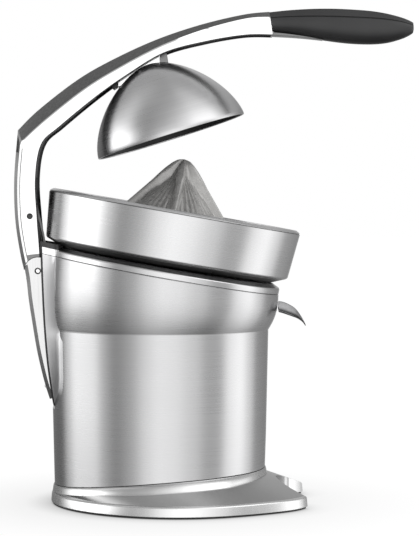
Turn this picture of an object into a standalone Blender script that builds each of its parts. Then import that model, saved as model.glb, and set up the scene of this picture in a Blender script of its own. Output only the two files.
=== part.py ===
"""Lever citrus press juicer, modelled as an assembly of separate pieces.

World frame: metres, +Z up, the spout and the lever's handle point along +X, and the
object is symmetric about the XZ plane.  The feet stand on z = 0.
All dimensions below are in millimetres; MM turns them into metres when a mesh is made.
"""
import math

import bmesh
import bpy
from mathutils import Matrix, Vector

# ---------------------------------------------------------------- driving dimensions (mm)
MM = 0.001
GAP = 0.3                     # clearance between neighbouring pieces
SEG_BIG, SEG_MID, SEG_SMALL = 32, 20, 12

# body
BODY_X = -47.3                # axis of the upright lower body
BODY_R_BASE, BODY_R_WAIST = 92.7, 95.6
WAIST_Z = 152.0
SHELL_T = 1.6
JUNCTION_REAR_Z, JUNCTION_FRONT_Z = 16.7, 31.2    # body meets base, front higher than rear
JUNCTION_SIDE_RISE = 3.5

# bowl frame: axis leans forward, rim centre on the axis
TILT = math.radians(10.0)
RIM_X, RIM_Z = -33.9, 255.2
BOWL_R_TOP, BOWL_R_BOTTOM, BOWL_H = 111.7, 107.4, 40.2
BOWL_NECK_R, BOWL_NECK_T = 95.0, -45.9
COLLAR_R, COLLAR_TOP_T, COLLAR_EDGE_T, COLLAR_BOTTOM_T = 102.3, -47.0, -50.4, -55.3
DECK_TOP_T, DECK_T = -48.2, 2.5

# base casting
BASE_X = -30.0
RIM_BOTTOM_Z, RIM_TOP_Z = 1.5, 10.5
NOTCH_X, NOTCH_R = 108.0, 53.0                    # glass recess between the two toes
FOOT_R, FOOT_H = 8.0, 1.9
GLAND_X = -112.0
PLATE_Z, PLATE_T = 2.2, 2.0

# lever linkage, points in the XZ plane
LINK_X, LINK_Z = -145.0, 104.0                    # lower pivot of the rear link
ARM_X, ARM_Z = -152.9, 203.9                      # pivot between rear link and lever arm
ARM_HALF_REAR, ARM_HALF_FRONT = 21.0, 13.0        # half widths of the arm
KNUCKLE_R = 12.3                                  # concave end of the arm round its pivot
CROSS_PIN_X, CROSS_PIN_Z = -161.7, 251.4
PIVOT_PIN_R = 2.6
SLOT_HALF = 22.0                                  # slot in the hinge pod
POD_REAR = [(-141.3, 86.0), (-143.5, 97.0), (-146.8, 125.0), (-148.6, 160.0),
            (-149.8, 195.0), (-150.8, 232.0)]         # rear silhouette of the hinge pod, (x, z)
POD_CREASE = [(86.3, -138.6, 24.5), (87.6, -138.2, 27.4), (90.5, -137.3, 31.4), (96.0, -135.2, 37.7),
              (104.0, -133.7, 41.6), (112.0, -133.2, 43.0), (130.0, -133.5, 43.2),
              (150.0, -133.1, 43.5), (160.0, -133.6, 44.5), (178.0, -134.9, 46.5),
              (200.0, -137.2, 43.0), (220.0, -138.4, 38.5), (236.0, -139.7, 35.0)]  # (z, x, y)
POD_INSIDE_X = -118.0                             # the pod's solid is closed inside the body
POCKET_X = -130.0                                 # floor of the pod's pocket

# grip: upper and lower silhouettes, (x, z)
GRIP_TOP = [(50.6, 428.0), (67.3, 432.3), (102.5, 434.0), (137.7, 432.1), (164.1, 426.2), (174.2, 420.6)]
GRIP_LOW = [(54.6, 409.2), (67.3, 408.6), (102.5, 404.8), (137.7, 402.2), (162.0, 406.2), (173.0, 411.6)]
GRIP_TIP_X, GRIP_TIP_Z = 175.6, 416.2
GRIP_ROUNDNESS = 0.75                             # exponent of the superellipse sections
GRIP_CORE_R, GRIP_CORE_L = 5.5, 91.0

# dome
DOME_X, DOME_Z, DOME_R = -37.1, 321.5, 67.1
DOME_TILT = math.radians(-17.4)
DOME_POWER = 1.6
DOME_T, LINER_T = 1.5, 1.5
DOME_PIN_X, DOME_PIN_Z = -69.5, 386.0

# drive train, along the bowl axis (t measured from the rim plane)
MODULE = 2.0
WHEEL_TEETH, PINION_TEETH = 28, 9
GEAR_DISTANCE = MODULE * (WHEEL_TEETH + PINION_TEETH) / 2
OUTPUT_T = (-74.0, -67.0)
IDLER_WHEEL_T = (-82.5, -76.5)
MOTOR_T = (-160.0, -93.0)
MOTOR_R = 32.0
SPINDLE_R, SPINDLE_LOW_T = 5.0, -71.5

# spout
SPOUT_PIN_X, SPOUT_PIN_Z = 61.5, 170.5
OUTLET_X, OUTLET_R = 84.0, 9.0                    # outlet bore, in the bowl frame


# ---------------------------------------------------------------- frames and small helpers
def bowl_frame():
    """Matrix of the tilted bowl frame, in mm."""
    return Matrix.Translation((RIM_X, 0, RIM_Z)) @ Matrix.Rotation(TILT, 4, "Y")


def bowl_point(x, t, y=0.0):
    return bowl_frame() @ Vector((x, y, t))


def dome_frame():
    return Matrix.Translation((DOME_X, 0, DOME_Z)) @ Matrix.Rotation(DOME_TILT, 4, "Y")


def circle(radius, count, x=0.0, y=0.0, phase=0.0):
    """Points of a circle, counter-clockwise."""
    turn = [phase + 2 * math.pi * i / count for i in range(count)]
    return [(x + radius * math.cos(a), y + radius * math.sin(a)) for a in turn]


def mix(a, b, s):
    return a + (b - a) * s


def smooth_line(points, steps):
    """Catmull-Rom curve through 2-D points, with `steps` samples for each span."""
    ends = [points[0]] + list(points) + [points[-1]]
    out = []
    for i in range(1, len(ends) - 2):
        p0, p1, p2, p3 = (Vector(p) for p in ends[i - 1:i + 3])
        for k in range(steps):
            s = k / steps
            out.append(tuple(0.5 * (2 * p1 + (p2 - p0) * s
                                    + (2 * p0 - 5 * p1 + 4 * p2 - p3) * s * s
                                    + (3 * p1 - p0 - 3 * p2 + p3) * s ** 3)))
    out.append(tuple(points[-1]))
    return out


# ---------------------------------------------------------------- materials
def material(name, colour, metallic, roughness):
    mat = bpy.data.materials.new(name)
    mat.use_nodes = True
    shader = mat.node_tree.nodes["Principled BSDF"]
    shader.inputs["Base Color"].default_value = (*colour, 1.0)
    shader.inputs["Metallic"].default_value = metallic
    shader.inputs["Roughness"].default_value = roughness
    mat.diffuse_color = (*colour, 1.0)
    return mat


def make_materials():
    return {
        "brushed": material("brushed_steel", (0.62, 0.62, 0.62), 1.0, 0.34),
        "polished": material("polished_casting", (0.80, 0.80, 0.80), 1.0, 0.16),
        "steel": material("plain_steel", (0.55, 0.55, 0.56), 1.0, 0.25),
        "soft_black": material("soft_touch_black", (0.02, 0.02, 0.02), 0.0, 0.55),
        "black": material("black_plastic", (0.03, 0.03, 0.03), 0.0, 0.5),
        "grey": material("grey_plastic", (0.42, 0.42, 0.43), 0.0, 0.45),
        "rubber": material("foot_rubber", (0.03, 0.03, 0.03), 0.0, 0.8),
        "white": material("gear_plastic", (0.80, 0.79, 0.75), 0.0, 0.4),
        "board": material("circuit_board", (0.05, 0.22, 0.09), 0.0, 0.5),
    }


# ---------------------------------------------------------------- solids
def finish(name, bm, mat, pivot=(0.0, 0.0, 0.0), frame=None, smooth=True):
    """Turn a bmesh drawn in mm into a named object whose origin is at `pivot` (mm)."""
    if frame is not None:
        bm.transform(frame)
    bmesh.ops.recalc_face_normals(bm, faces=bm.faces[:])
    bm.transform(Matrix.Scale(MM, 4) @ Matrix.Translation(-Vector(pivot)))
    mesh = bpy.data.meshes.new(name)
    bm.to_mesh(mesh)
    bm.free()
    if smooth:
        mesh.shade_smooth()
        mesh.set_sharp_from_angle(angle=math.radians(35))
    obj = bpy.data.objects.new(name, mesh)
    obj.location = Vector(pivot) * MM
    bpy.context.scene.collection.objects.link(obj)
    if mat is None:
        obj.hide_render = True
        obj.display_type = "WIRE"
    else:
        mesh.materials.append(mat)
    return obj


def boolean(obj, other, operation="DIFFERENCE"):
    mod = obj.modifiers.new(other.name, "BOOLEAN")
    mod.operation = operation
    mod.object = other
    mod.solver = "EXACT"
    return obj


def cut(obj, *cutters):
    for cutter in cutters:
        boolean(obj, cutter)
    return obj


def skin(bm, rings, closed_along=False, caps=True):
    """Faces between rings of equal length; a one-point ring makes a fan."""
    made = [[bm.verts.new(p) for p in ring] for ring in rings]
    pairs = list(zip(made, made[1:]))
    if closed_along:
        pairs.append((made[-1], made[0]))
    for low, high in pairs:
        count = max(len(low), len(high))
        for i in range(count):
            j = (i + 1) % count
            quad = [low[i % len(low)], low[j % len(low)],
                    high[j % len(high)], high[i % len(high)]]
            corners = list(dict.fromkeys(quad))
            if len(corners) > 2:
                bm.faces.new(corners)
    if caps and not closed_along:
        for ring in (made[0], made[-1]):
            if len(ring) > 2:
                bm.faces.new(ring)
    return bm


def turned(name, profile, mat, frame=None, pivot=(0, 0, 0), segments=SEG_BIG, centre=(0, 0),
           phase=0.0):
    """Solid of revolution about a Z axis through `centre`.

    `profile` is a closed outline of (radius, height).  An outline that starts and ends on
    the axis is a full body; any other is a ring.
    """
    bm = bmesh.new()
    rings = []
    for radius, height in profile:
        if radius < 1e-6:
            rings.append([(centre[0], centre[1], height)])
        else:
            rings.append([(x, y, height) for x, y in circle(radius, segments, *centre, phase)])
    on_axis = profile[0][0] < 1e-6 and profile[-1][0] < 1e-6
    skin(bm, rings, closed_along=not on_axis, caps=False)
    return finish(name, bm, mat, pivot, frame)


def rod(name, radius, low, high, mat, frame=None, pivot=(0, 0, 0), segments=SEG_SMALL,
        centre=(0, 0), phase=0.13):
    """Cylinder along Z between two heights; the phase keeps its corners off the XZ plane."""
    outline = [(0, low), (radius, low), (radius, high), (0, high)]
    return turned(name, outline, mat, frame, pivot, segments, centre, phase)


def cross_rod(name, radius, x, z, half, mat, pivot=None, segments=SEG_SMALL):
    """Cylinder along Y through (x, z)."""
    frame = Matrix.Translation((x, 0, z)) @ Matrix.Rotation(math.pi / 2, 4, "X")
    return rod(name, radius, -half, half, mat, frame, pivot or (x, 0, z), segments)


def prism(name, outline, low, high, mat, frame=None, pivot=(0, 0, 0)):
    """Outline of (x, y) extruded along Z."""
    bm = bmesh.new()
    skin(bm, [[(x, y, low) for x, y in outline], [(x, y, high) for x, y in outline]])
    return finish(name, bm, mat, pivot, frame, smooth=False)


def side_prism(name, outline, half, mat, pivot=(0, 0, 0)):
    """Outline of (x, z) extruded along Y, from -half to +half."""
    bm = bmesh.new()
    skin(bm, [[(x, -half, z) for x, z in outline], [(x, half, z) for x, z in outline]])
    return finish(name, bm, mat, pivot, smooth=False)


def box(name, low, high, mat, frame=None, pivot=(0, 0, 0)):
    outline = [(low[0], low[1]), (high[0], low[1]), (high[0], high[1]), (low[0], high[1])]
    return prism(name, outline, low[2], high[2], mat, frame, pivot)


# ---------------------------------------------------------------- body
def junction_z(x, y):
    """Height of the seam between body and base."""
    s = (x - (BODY_X - BODY_R_BASE)) / (2 * BODY_R_BASE)
    return mix(JUNCTION_REAR_Z, JUNCTION_FRONT_Z, s) + JUNCTION_SIDE_RISE * (y / BODY_R_BASE) ** 2


def body_rings(inset=0.0, seam_gap=0.0, count=SEG_BIG):
    """Rings of the body's outside, from the base seam up to the collar seam."""
    rings = []
    seam = circle(BODY_R_BASE - inset, count, BODY_X)
    rings.append([(x, y, junction_z(x, y) + seam_gap) for x, y in seam])
    for z in (60.0, 110.0, WAIST_Z):
        radius = mix(BODY_R_BASE, BODY_R_WAIST, (z - JUNCTION_REAR_Z) / (WAIST_Z - JUNCTION_REAR_Z))
        rings.append([(x, y, z) for x, y in circle(radius - inset, count, BODY_X)])
    top = bowl_point(0, COLLAR_BOTTOM_T - GAP)
    for s in (0.12, 0.26, 0.42, 0.65, 1.0):
        radius = mix(BODY_R_WAIST, COLLAR_R, 1 - (1 - s) ** 2.6)
        centre = (mix(BODY_X, top.x, s), mix(WAIST_Z, top.z, s))
        frame = (Matrix.Translation((centre[0], 0, centre[1]))
                 @ Matrix.Rotation(TILT * s, 4, "Y"))
        rings.append([tuple(frame @ Vector((x, y, 0))) for x, y in circle(radius - inset, count)])
    return rings


def body_volume(name, inset):
    """Cutter with the body's outer shape, moved in by `inset`, and open-ended."""
    bm = bmesh.new()
    rings = body_rings(inset)
    rings.insert(0, [(x, y, 0.0) for x, y, z in rings[0]])
    rings.append([tuple(Vector(p) + bowl_frame().to_3x3() @ Vector((0, 0, 30))) for p in rings[-1]])
    skin(bm, rings)
    return finish(name, bm, None)


def make_housing(mats):
    bm = bmesh.new()
    outside = body_rings(0.0, GAP)
    inside = body_rings(SHELL_T, GAP)
    skin(bm, outside + inside[::-1], closed_along=True)
    shell = finish("housing_shell", bm, mats["brushed"])
    window = box("housing_window", (-160, -(SLOT_HALF + 2.3), 83.7), (-110, SLOT_HALF + 2.3, 260), None)
    mouth = box("housing_mouth", (85, -12.3, -72.3), (125, 12.3, -58.6), None, bowl_frame())
    return cut(shell, window, mouth)


def pod_solid(name, mat):
    """Hinge pod before its cuts: a flat rear band and two slanted faces running onto the body."""
    rear = smooth_line(POD_REAR, 3)
    rings = []
    for z, x, y in POD_CREASE:
        low = max([p for p in rear if p[1] <= z], key=lambda p: p[1])
        high = min([p for p in rear if p[1] > z] or [(rear[-1][0], z + 1)], key=lambda p: p[1])
        back = mix(low[0], high[0], (z - low[1]) / (high[1] - low[1]))
        edge = min(SLOT_HALF + 1.6, y - 0.8)
        half = [(back, edge), (back + 1.6, min(edge + 2.4, y - 0.4)), (x, y), (x + 3.0, y + 1.0),
                (POD_INSIDE_X, y + 1.0)]
        rings.append([(px, -py, z) for px, py in half] + [(px, py, z) for px, py in half[::-1]])
    bm = bmesh.new()
    skin(bm, rings)
    return finish(name, bm, mat)


def make_pod(mats):
    """Hinge pod: proud cheeks outside the body and a pocket that reaches inside it."""
    pod = pod_solid("hinge_pod", mats["brushed"])
    body = body_volume("pod_body_cut", -GAP)
    top = box("pod_top_cut", (-200, -60, COLLAR_BOTTOM_T - GAP), (200, 60, 60), None, bowl_frame())
    pocket = box("pod_pocket", (-140, -(SLOT_HALF + 2), 84), (POCKET_X, SLOT_HALF + 2, 205), None)
    slot = box("pod_slot", (-200, -SLOT_HALF, 86.0), (POCKET_X - 2, SLOT_HALF, 260), None)
    bore = cross_rod("pod_bore", PIVOT_PIN_R + GAP, LINK_X, LINK_Z, 27.0, None)
    cut(pod, body)
    boolean(pod, pocket, "UNION")
    return cut(pod, top, slot, bore)


def make_collar(mats):
    """Polished collar with a lug that carries on the hinge pod's shape."""
    profile = [(BOWL_NECK_R + 0.4, COLLAR_TOP_T), (COLLAR_R, COLLAR_EDGE_T),
               (COLLAR_R, COLLAR_BOTTOM_T), (COLLAR_R - 3.5, COLLAR_BOTTOM_T),
               (COLLAR_R - 3.5, -53.0), (BOWL_NECK_R + 0.4, -49.5)]
    collar = turned("top_collar", profile, mats["polished"], bowl_frame())
    lug = pod_solid("collar_lug", None)
    lug_low = box("lug_low_cut", (-200, -60, -200), (200, 60, COLLAR_BOTTOM_T), None, bowl_frame())
    lug_high = box("lug_high_cut", (-200, -60, COLLAR_EDGE_T + 3.2), (200, 60, 80), None, bowl_frame())
    core = rod("lug_core_cut", COLLAR_R - 1.8, -80, 20, None, bowl_frame(), segments=SEG_BIG)
    slot = box("collar_slot", (-200, -SLOT_HALF, 100), (-135, SLOT_HALF, 260), None)
    cut(lug, lug_low, lug_high, core)
    boolean(collar, lug, "UNION")
    return cut(collar, slot)


def make_deck(mats):
    """Plate that closes the body, with a boss for the spindle bushing."""
    t0, t1 = DECK_TOP_T - DECK_T, DECK_TOP_T
    profile = [(9.3, -58.5), (13.5, -58.5), (13.5, t0), (94.5, t0), (94.5, t1), (12.5, t1),
               (12.5, -21.0), (9.3, -21.0)]
    deck = turned("drive_deck", profile, mats["black"], bowl_frame())
    outlet = rod("deck_outlet_cut", OUTLET_R + 2.4, -60, -40, None, bowl_frame(), centre=(OUTLET_X, 0))
    return cut(deck, outlet)


def base_radius(angle):
    """Plan radius of the base rim: two toes at the front and a slight heel."""
    degrees = abs(math.degrees(math.atan2(math.sin(angle), math.cos(angle))))
    toes = 11.0 * math.exp(-((degrees - 24.0) / 20.0) ** 2)
    heel = 4.0 * math.exp(-((180.0 - degrees) / 38.0) ** 2)
    return 109.0 + toes + heel


def base_ring(inset, height, count=SEG_BIG):
    ring = []
    for i in range(count):
        a = 2 * math.pi * i / count
        r = base_radius(a) - inset
        ring.append((BASE_X + r * math.cos(a), r * math.sin(a), height))
    return ring


def seam_ring(outset, drop, count=SEG_BIG):
    """Ring round the body's foot; it hugs the body where the base barely reaches past it."""
    ring = []
    for x, y in circle(BODY_R_BASE, count, BODY_X):
        reach = base_radius(math.atan2(y, x - BASE_X)) - math.hypot(x - BASE_X, y)
        grow = outset * max(0.22, min(1.0, reach / 14.0)) if outset > 0 else outset
        scale = 1 + grow / BODY_R_BASE
        ring.append((BODY_X + (x - BODY_X) * scale, y * scale, junction_z(x, y) - drop))
    return ring


def make_base(mats):
    bm = bmesh.new()
    skin(bm, [base_ring(0.0, RIM_BOTTOM_Z), base_ring(1.5, RIM_TOP_Z), seam_ring(7.4, 7.9),
              seam_ring(6.3, 5.4), seam_ring(4.4, 1.7), seam_ring(0.0, 0.0)])
    base = finish("base_casting", bm, mats["polished"])
    notch = rod("base_notch", NOTCH_R, -5, 60, None, segments=48, centre=(NOTCH_X, 0))
    bm = bmesh.new()
    skin(bm, [base_ring(4.0, -2.0), base_ring(5.5, 7.0), seam_ring(-6.0, 9.0), seam_ring(-6.0, -30.0)])
    hollow = finish("base_hollow", bm, None)
    cut(hollow, rod("notch_wall", NOTCH_R + 4, -10, 80, None, segments=48, centre=(NOTCH_X, 0)))
    arch_frame = (Matrix.Translation((-150, 0, RIM_BOTTOM_Z)) @ Matrix.Rotation(math.pi / 2, 4, "Y")
                  @ Matrix.Rotation(0.2, 4, "Z"))
    cord_arch = rod("cord_arch", 4.5, 0, 30, None, arch_frame)
    return cut(base, notch, hollow, cord_arch)


def make_gland(mats, plate):
    """Rubber gland that lets the cord out through the bottom plate."""
    profile = [(6.0, PLATE_Z - 0.8), (6.0, 9.0), (3.5, 9.0), (3.5, PLATE_Z - 0.8)]
    turned("cord_gland", profile, mats["rubber"], segments=SEG_MID, centre=(GLAND_X, 0))
    cut(plate, rod("gland_hole", 6.0 + GAP, -5, 20, None, segments=SEG_MID, centre=(GLAND_X, 0)))


def foot_places():
    return [(40.0, -70.0), (40.0, 70.0), (-110.0, -55.0), (-110.0, 55.0)]


def make_underside(mats):
    bm = bmesh.new()
    skin(bm, [base_ring(5.6, PLATE_Z), base_ring(5.6, PLATE_Z + PLATE_T)])
    plate = finish("bottom_plate", bm, mats["black"], smooth=False)
    cut(plate, rod("plate_notch", NOTCH_R + 4.6, -10, 20, None, segments=48, centre=(NOTCH_X, 0)))
    for n, (x, y) in enumerate(foot_places(), 1):
        outline = [(0, 0), (FOOT_R - 0.8, 0), (FOOT_R, 0.8), (FOOT_R, FOOT_H), (0, FOOT_H)]
        turned("foot_%d" % n, outline, mats["rubber"], segments=SEG_SMALL, centre=(x, y))
    places = [(-30.0, -92.0), (-30.0, 92.0), (36.0, -40.0), (36.0, 40.0)]
    for n, (x, y) in enumerate(places, 1):
        hole = rod("screw_hole_%d" % n, 2.4, -5, 20, None, centre=(x, y), segments=12)
        cut(plate, hole)
        outline = [(0, 0.9), (3.8, 0.9), (3.8, PLATE_Z - GAP), (2.0, PLATE_Z - GAP), (2.0, 9.0), (0, 9.0)]
        turned("base_screw_%d" % n, outline, mats["steel"], segments=12, centre=(x, y))
    return plate


# ---------------------------------------------------------------- bowl, filter, reamer
def make_bowl(mats):
    frame = bowl_frame()
    r0, r1, h = BOWL_R_TOP, BOWL_R_BOTTOM, -BOWL_H
    skirt = [(r0 - 1.0, 1.6), (r0, 0.2), (r0, -3.0), (r1 + 0.5, h + 1.5), (r1 - 1.5, h - 0.8),
             (BOWL_NECK_R, BOWL_NECK_T), (BOWL_NECK_R, BOWL_NECK_T + 1.6),
             (r1 - 3.0, h + 1.6), (r0 - 4.0, -3.0), (r0 - 4.0, 0.6), (r0 - 2.6, 1.6)]
    turned("bowl_skirt", skirt, mats["brushed"], frame)
    pan = [(107.2, -1.4), (107.2, -2.9), (103.6, -2.9), (101.8, -30.0), (91.0, -44.6), (14.0, -42.0),
           (14.0, -20.0), (15.5, -20.0), (15.5, -40.4), (90.0, -42.8), (100.3, -29.2), (102.2, -1.4)]
    bowl = turned("juice_pan", pan, mats["steel"], frame)
    cut(bowl, rod("pan_outlet_cut", OUTLET_R, -60, -30, None, frame, centre=(OUTLET_X - 1.5, 0)))
    dish = [(99.8, -11.0), (99.8, -12.4), (42.0, -25.4), (18.0, -25.4), (18.0, -24.0), (42.0, -24.0)]
    strainer = turned("filter_basket", dish, mats["steel"], frame)
    bm = bmesh.new()
    slots = 10
    for i in range(slots):
        turn = Matrix.Rotation(2 * math.pi * (i + 0.5) / slots, 4, "Z")
        ring = [(48.0, -2.0), (86.0, -3.5), (86.0, 3.5), (48.0, 2.0)]
        skin(bm, [[turn @ Vector((x, y, z)) for x, y in ring] for z in (-40.0, 0.0)])
    cut(strainer, finish("filter_slots", bm, None, frame=frame, smooth=False))


def make_reamer(mats):
    """Four tall fins on a cone with fine ribs; both run out into a round flange."""
    fins, ribs, count = 4, 24, 96
    levels = [(46.4, 3.6, 2.0), (44.6, 7.4, 3.0), (42.4, 10.0, 3.6), (37.2, 15.0, 5.8), (31.0, 20.0, 8.5),
              (25.3, 24.2, 13.2), (18.0, 30.2, 20.4), (10.0, 36.8, 28.0), (4.0, 41.8, 33.5), (-3.1, 47.6, 40.6),
              (-7.0, 48.5, 45.0), (-10.5, 48.5, 47.8), (-12.5, 48.5, 48.5), (-15.0, 48.5, 48.5)]
    rings = [[(0, 0, 47.0)]]
    for t, fin_r, cone_r in levels:
        depth = 0.05 * cone_r * min(1.0, max(0.0, (t + 11.0) / 6.0))
        ring = []
        for i in range(count):
            a = 2 * math.pi * i / count
            phase = (a * fins / (2 * math.pi)) % 1.0
            off = min(phase, 1 - phase) * 2 * math.pi / fins * max(cone_r, 8.0)
            fin = math.exp(-(off / 2.8) ** 4)
            rib = 0.5 + 0.5 * math.cos(ribs * a)
            r = mix(cone_r - depth * (1 - rib), fin_r, fin)
            ring.append((r * math.cos(a), r * math.sin(a), t))
        rings.append(ring)
    bore = SPINDLE_R + GAP
    rings.append([(x, y, -15.0) for x, y in circle(bore, count)])
    rings.append([(x, y, 13.0) for x, y in circle(bore, count)])
    rings.append([(0, 0, 13.0)])
    bm = bmesh.new()
    skin(bm, rings, caps=False)
    frame = bowl_frame()
    finish("reamer", bm, mats["grey"], tuple(bowl_point(0, 0)), frame)
    rod("spindle", SPINDLE_R, SPINDLE_LOW_T, 12.7, mats["steel"], frame, tuple(bowl_point(0, 0)))


# ---------------------------------------------------------------- drive train
def involute(radius, base):
    """Involute function of the pressure angle at `radius`."""
    if radius <= base:
        return 0.0
    a = math.acos(base / radius)
    return math.tan(a) - a


def gear_outline(teeth, addendum, phase=0.0, backlash=0.35):
    """Outline of a spur gear with involute flanks."""
    pitch = MODULE * teeth / 2
    base = pitch * math.cos(math.radians(20))
    root, tip = pitch - 1.25 * MODULE, pitch + addendum * MODULE
    radii = [root, pitch, tip] if root > base else [root, base, pitch, tip]
    points = []
    for k in range(teeth):
        middle = phase + 2 * math.pi * k / teeth
        half = [math.pi / (2 * teeth) - backlash / (2 * pitch)
                + involute(pitch, base) - involute(r, base) for r in radii]
        flank = list(zip(radii, half))
        points += [(r * math.cos(middle - h), r * math.sin(middle - h)) for r, h in flank]
        points += [(r * math.cos(middle + h), r * math.sin(middle + h)) for r, h in flank[::-1]]
    return points


def make_gears(mats):
    frame = bowl_frame()
    half_pitch = math.pi / PINION_TEETH
    idler = tuple(bowl_point(-GEAR_DISTANCE, 0))
    idler_frame = frame @ Matrix.Translation((-GEAR_DISTANCE, 0, 0))
    origin = tuple(bowl_point(0, 0))

    wheel = prism("output_gear", gear_outline(WHEEL_TEETH, 0.7), *OUTPUT_T, mats["white"], frame, origin)
    cut(wheel, rod("output_gear_bore", SPINDLE_R + GAP, -90, -50, None, frame))

    small = gear_outline(PINION_TEETH, 1.0, half_pitch)
    gear = prism("idler_gear", gear_outline(WHEEL_TEETH, 0.7), *IDLER_WHEEL_T, mats["white"],
                 idler_frame, idler)
    boolean(gear, prism("idler_pinion", small, IDLER_WHEEL_T[1] - 1, OUTPUT_T[1], None, idler_frame), "UNION")
    cut(gear, rod("idler_bore", 3.0 + GAP, -100, -50, None, idler_frame))
    rod("idler_pin", 3.0, -86.0, -62.0, mats["steel"], idler_frame)

    low, high = MOTOR_T[0] + 8, MOTOR_T[1] - 6
    rotor = [(0, MOTOR_T[0] - 5), (3.4, MOTOR_T[0] - 5), (3.4, low), (24.0, low), (24.0, high),
             (3.4, high), (3.4, IDLER_WHEEL_T[1]), (0, IDLER_WHEEL_T[1])]
    turned("motor_rotor", rotor, mats["steel"], frame, origin, SEG_MID)
    pinion = prism("motor_pinion", gear_outline(PINION_TEETH, 1.0), *IDLER_WHEEL_T, mats["steel"],
                   frame, origin)
    cut(pinion, rod("motor_pinion_bore", 3.4 + GAP, -100, -60, None, frame))


def stadium(radius, x0, x1, count=16):
    """Outline of two half circles about (x0, 0) and (x1, 0) joined by straight sides."""
    right = [(x1 + radius * math.cos(a), radius * math.sin(a))
             for a in (-math.pi / 2 + math.pi * i / count for i in range(count + 1))]
    left = [(x0 + radius * math.cos(a), radius * math.sin(a))
            for a in (math.pi / 2 + math.pi * i / count for i in range(count + 1))]
    return right + left


def make_drive(mats):
    """Gearbox, motor, spindle bushing, thrust collar and start switch."""
    frame = bowl_frame()
    floor_t, case_top = -88.0, DECK_TOP_T - DECK_T - GAP
    case = prism("gearbox_case", stadium(36.5, -GEAR_DISTANCE, 0), floor_t, case_top, mats["black"], frame)
    inner = prism("gearbox_inside", stadium(34.0, -GEAR_DISTANCE, 0), floor_t + 3, 0, None, frame)
    shaft = rod("gearbox_shaft_hole", 5.0, -100, -70, None, frame)
    pin = rod("gearbox_pin_hole", 3.0 + GAP, -100, -70, None, frame, centre=(-GEAR_DISTANCE, 0))
    cut(case, inner, shaft, pin)

    t0, t1 = MOTOR_T
    can = [(MOTOR_R, t1), (MOTOR_R, t0), (MOTOR_R - 2, t0), (MOTOR_R - 2, t1 - 2), (5.0, t1 - 2), (5.0, t1)]
    turned("motor_can", can, mats["steel"], frame, segments=SEG_MID)
    bell = [(MOTOR_R, t0 - GAP), (MOTOR_R - 3, t0 - 7), (4.6, t0 - 7), (4.6, t0 - GAP)]
    turned("motor_end_bell", bell, mats["black"], frame, segments=SEG_MID)
    plate = prism("motor_plate", stadium(36.5, -GEAR_DISTANCE, 0), t1 + GAP, floor_t - GAP,
                  mats["steel"], frame)
    cut(plate, rod("plate_shaft_hole", 5.0, -100, -80, None, frame))

    sleeve = [(9.0, -58.5), (SPINDLE_R + GAP, -58.5), (SPINDLE_R + GAP, -21.0), (9.0, -21.0)]
    turned("spindle_bushing", sleeve, mats["steel"], frame, segments=SEG_MID)
    ring = [(11.0, -61.6), (SPINDLE_R + GAP, -61.6), (SPINDLE_R + GAP, -59.4), (11.0, -59.4)]
    turned("thrust_collar", ring, mats["steel"], frame, tuple(bowl_point(0, -60.5)), SEG_MID)
    box("start_switch", (15, -5, -65.5), (31, 5, -51.2), mats["black"], frame)
    board = box("control_board", (-20, -30, 9.6), (30, 30, 11.2), mats["board"])
    for x in (-15, 25):
        for y in (-25, 25):
            name = "board_post_%d_%d" % (x + 15, y + 25)
            post = rod(name, 2.5, PLATE_Z + PLATE_T + GAP, 10, None, centre=(x, y), segments=8)
            boolean(board, post, "UNION")


# ---------------------------------------------------------------- juice path
def make_spout(mats):
    frame = bowl_frame()
    duct = rod("juice_duct", OUTLET_R + 1.8, -71.5, -46.6, mats["black"], frame, segments=SEG_MID,
               centre=(OUTLET_X, 0))
    boolean(duct, box("duct_run", (OUTLET_X - 3, -12.0, -71.2), (108.5, 12.0, -59.2), None, frame), "UNION")
    bore = rod("duct_bore", OUTLET_R - 0.2, -69.5, -40, None, frame, segments=SEG_MID,
               centre=(OUTLET_X, 0), phase=0.3)
    cut(duct, bore,
        box("duct_channel", (OUTLET_X - 2, -9.5, -69.2), (120, 9.5, -61.2), None, frame),
        cross_rod("duct_pin_bore", 1.5 + GAP, SPOUT_PIN_X, SPOUT_PIN_Z, 30, None))

    pivot = (SPOUT_PIN_X, 0, SPOUT_PIN_Z)
    upper = smooth_line([(58.6, 175.6), (67.3, 172.6), (76.1, 166.3), (81.6, 156.4)], 3)
    lower = smooth_line([(58.4, 167.4), (66.0, 163.2), (74.0, 159.6), (80.0, 154.6)], 3)
    rings = []
    for n, (top, low) in enumerate(zip(upper, lower)):
        s = n / (len(upper) - 1)
        half = mix(14.4, 5.0, s ** 3)
        top, low = Vector((top[0], 0, top[1])), Vector((low[0], 0, low[1]))
        floor = low + (top - low) * min(0.5, 1.6 / (top - low).length)
        right = [low + Vector((0, half, 0)), top + Vector((0, half, 0)),
                 top + Vector((0, half - 1.8, 0)), floor + Vector((0, half - 1.8, 0))]
        left = [Vector((p.x, -p.y, p.z)) for p in right[::-1]]
        rings.append([tuple(p) for p in right + left])
    bm = bmesh.new()
    skin(bm, rings)
    spout = finish("spout", bm, mats["polished"], pivot)
    relief = box("spout_root_cut", (40, -12.5, 150), (69.5, 12.5, 190), None)
    wall_cut = body_volume("spout_body_cut", -1.2)
    cut(spout, relief, wall_cut, cross_rod("spout_pin_hole", 1.5 + GAP, SPOUT_PIN_X, SPOUT_PIN_Z, 30, None))
    cross_rod("spout_pin", 1.5, SPOUT_PIN_X, SPOUT_PIN_Z, 14.0, mats["steel"], segments=12)


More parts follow.
